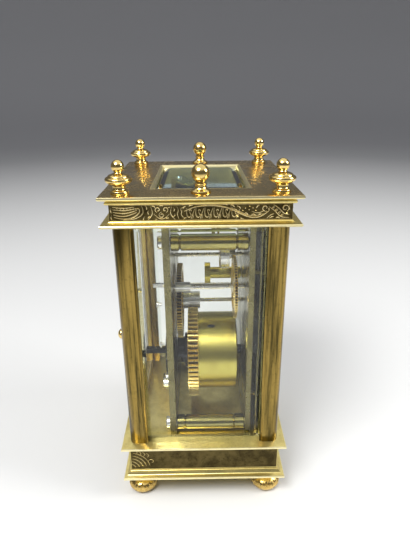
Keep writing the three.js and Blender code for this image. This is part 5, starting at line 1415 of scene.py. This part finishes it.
staff = turned(
    "staff",
    [(0.15, balance_low[2]), (0.2, balance_low[2] + 0.1), (0.2, platform_high[2] + FIT),
     (0.4, platform_high[2] + 0.4), (0.4, bridge_top - 0.7), (1.2, bridge_top - 0.7),
     (1.2, bridge_top - 0.4), (0.4, bridge_top - 0.4), (0.4, RIM_LOW), (0.9, RIM_LOW),
     (0.9, RIM_HIGH + 0.1), (0.7, RIM_HIGH + 0.1), (0.7, hair_high[2]), (0.4, hair_high[2]),
     (0.2, hair_high[2] + 0.15), (0.2, balance_high[2])],
    sides=32, smooth_degrees=30,
)
TIMING_SCREWS = 16
screw_head = turned("head", [(0.4, 0), (0.4, 0.55), (0.33, 0.62)], sides=16, smooth_degrees=30)
outwards = at(RIM_OUTER - 0.12, 0, (RIM_LOW + RIM_HIGH) / 2) @ spin(90, "Y")
timing_screws = [
    copied(screw_head, "timing_screw", spin(360 / TIMING_SCREWS * (step + 0.5)) @ outwards)
    for step in range(TIMING_SCREWS)
]
scrap(screw_head)
balance = assembled([rim, arms, staff] + timing_screws, "balance_with_screws")
BALANCE_X, BALANCE_Y, _ = ARBORS["balance_swing"] / MM
balance.data.transform(at(BALANCE_X, BALANCE_Y) @ spin(35))
dressed(balance, wheel_brass, body="balance", stands_for=["balance_wheel"])

hairspring = ribbon("hairspring_ribbon", 1.1, 4.5, 9, hair_low[2], hair_high[2], 0.1)
hairspring.data.transform(at(BALANCE_X, BALANCE_Y))
dressed(hairspring, blue_steel, stands_for=["hairspring"])
print("balance at", round(BALANCE_X, 2), round(BALANCE_Y, 2))

# %% Small screws of the platform, the cock and the back plate
small_screw = screw_pattern("small_screw", 1.15, 0.7, 0.5, 1.2)
COCK_REACH, COCK_DEGREES = 10.75, math.radians(20)
SCREW_X, SCREW_MARGIN = 15.3, 2.2
screw_places = [
    (sx * SCREW_X, y, platform_high[2])
    for sx in (-1, 1) for y in (platform_low[1] + SCREW_MARGIN, platform_high[1] - SCREW_MARGIN)
]
screw_places.append((
    BALANCE_X + COCK_REACH * math.cos(COCK_DEGREES), BALANCE_Y + COCK_REACH * math.sin(COCK_DEGREES),
    box_of("balance_cock")[1][2],
))
for index, place in enumerate(screw_places):
    piece = copied(small_screw, "platform_screw_%d" % index, at(*place) @ spin(52 * index))
    dressed(piece, steel)
BACK_SCREWS = ((-20.5, 8.0), (20.5, 8.0), (-14.0, -13.0), (16.0, -30.0))
for index, (x, y) in enumerate(BACK_SCREWS):
    place = in_movement(x, y) @ at(0, 0, PLATE_REAR) @ head_up @ spin(40 * index)
    piece = copied(small_screw, "back_screw_%d" % index, place)
    dressed(piece, steel)
scrap(small_screw)
print("small screws:", len(screw_places) + len(BACK_SCREWS))

# %% [markdown]
# The dial is white enamel on a brass backing. Its figures are plain Roman hours, drawn as strokes
# of two widths with short serifs and fired on the face, with a minute ring round them. Numbers
# like these are common to all such dials. Flat bars and two rings are joined into one piece.

# %% Dial figures and minute ring
DIAL_FACE = span_of("dial_plate")[1]
HOUR_RADIUS, HALF_FIGURE, RING_RADIUS, RING_WIDTH = 17.6, 2.2, 21.6, 1.3
THICK, THIN, INK = 0.75, 0.26, 0.06
# Each letter has its width and its bars, as where one starts at the top, ends below, and how wide.
LETTERS = {
    "I": (1.2, [(0, 0, THICK)]),
    "V": (2.7, [(-1.1, 0, THICK), (1.1, 0.1, THIN)]),
    "X": (2.7, [(-1.05, 1.05, THICK), (1.05, -1.05, THIN)]),
}
ROMAN = ["XII", "I", "II", "III", "IIII", "V", "VI", "VII", "VIII", "IX", "X", "XI"]


def bar(start, end, width):
    """A flat bar between two points of the dial, in mm."""
    (x0, y0), (x1, y1) = start, end
    length = math.hypot(x1 - x0, y1 - y0)
    made = box("bar", (-length / 2, -width / 2, 0), (length / 2, width / 2, INK))
    turn = spin(math.degrees(math.atan2(y1 - y0, x1 - x0)))
    made.data.transform(at((x0 + x1) / 2, (y0 + y1) / 2) @ turn)
    return made


def figure_bars(figure):
    """The bars of a Roman figure about the middle, with a serif line above and below."""
    half_width = sum(LETTERS[letter][0] for letter in figure) / 2
    left, bars = -half_width, []
    for letter in figure:
        width, strokes = LETTERS[letter]
        middle = left + width / 2
        left += width
        for top, foot_end, thickness in strokes:
            bars.append(bar((middle + top, HALF_FIGURE), (middle + foot_end, -HALF_FIGURE), thickness))
    for level in (-HALF_FIGURE, HALF_FIGURE):
        bars.append(bar((-half_width, level), (half_width, level), THIN))
    return bars


ink = []
for hour, figure in enumerate(ROMAN):
    for piece in figure_bars(figure):
        piece.data.transform(spin(-30 * hour) @ at(0, HOUR_RADIUS))
        ink.append(piece)
for minute in range(60):
    width = 0.45 if minute % 5 == 0 else 0.18
    tick = bar((0, RING_RADIUS), (0, RING_RADIUS + RING_WIDTH), width)
    tick.data.transform(spin(-6 * minute))
    ink.append(tick)
for radius in (RING_RADIUS, RING_RADIUS + RING_WIDTH):
    inner, outer = radius - 0.08, radius + 0.08
    section = [(inner, 0), (outer, 0), (outer, INK), (inner, INK), (inner, 0)]
    ink.append(turned("ring", section, sides=96, ring=True))
figures = assembled(ink, "dial_figures")
figures.data.transform(in_movement(0, 0) @ at(0, 0, DIAL_FACE - 0.01))
dressed(figures, black_ink)
refined("hour_hand", "hour_hand_blued", 0.09, blue_steel, "hour_hand_on_pipe")
refined("minute_hand", "minute_hand_blued", 0.09, blue_steel, "minute_hand_on_cannon")
print("figures:", len(ROMAN), "faces:", len(figures.data.polygons))

# %% [markdown]
# Some solids have the right shape already and only need their finish. The wheels get brass with
# steel arbors, each from its own axis and slab. The edges of the side glasses are ground, so the
# narrow faces get a duller glass.

# %% Finish of the wheels that keep their solids
for name, joint, low, high, root in (
    ("centre_wheel", "centre_arbor_turn", 7.8, 10.0, root_radius(72, 0.42)),
    ("third_wheel", "third_arbor_turn", -13.1, -11.9, root_radius(64, 0.37)),
    ("contrate_wheel", "contrate_arbor_turn", -7.3, -3.2, NO_TEETH),
):
    coated(nodes[name], arbor_finish(name + "_metals", ARBORS[joint], low, high, root))
print("wheels finished")

# %% Finish of the other solids
for material, names in (
    (plate_brass, ["dial_backing"]),
    (drum_brass, ["flanged_stud"]),
    (wheel_brass, ["hour_wheel", "minute_wheel", "escape_wheel"]),
    (steel, ["cannon_pinion", "hand_setting_arbor", "pallet_lever"]),
    (clear_glass, ["side_glass_left", "side_glass_right", "front_glass", "back_door_glass"]),
    (blue_glass, ["top_glass"]),
    (white_enamel, ["dial_plate"]),
):
    for name in names:
        coated(nodes[name], material)
for name in ("side_glass_left", "side_glass_right"):
    paint(nodes[name], bevel_glass, lambda place, normal: abs(normal.x) < 0.985)
print("finishes in all:", len(bpy.data.materials))
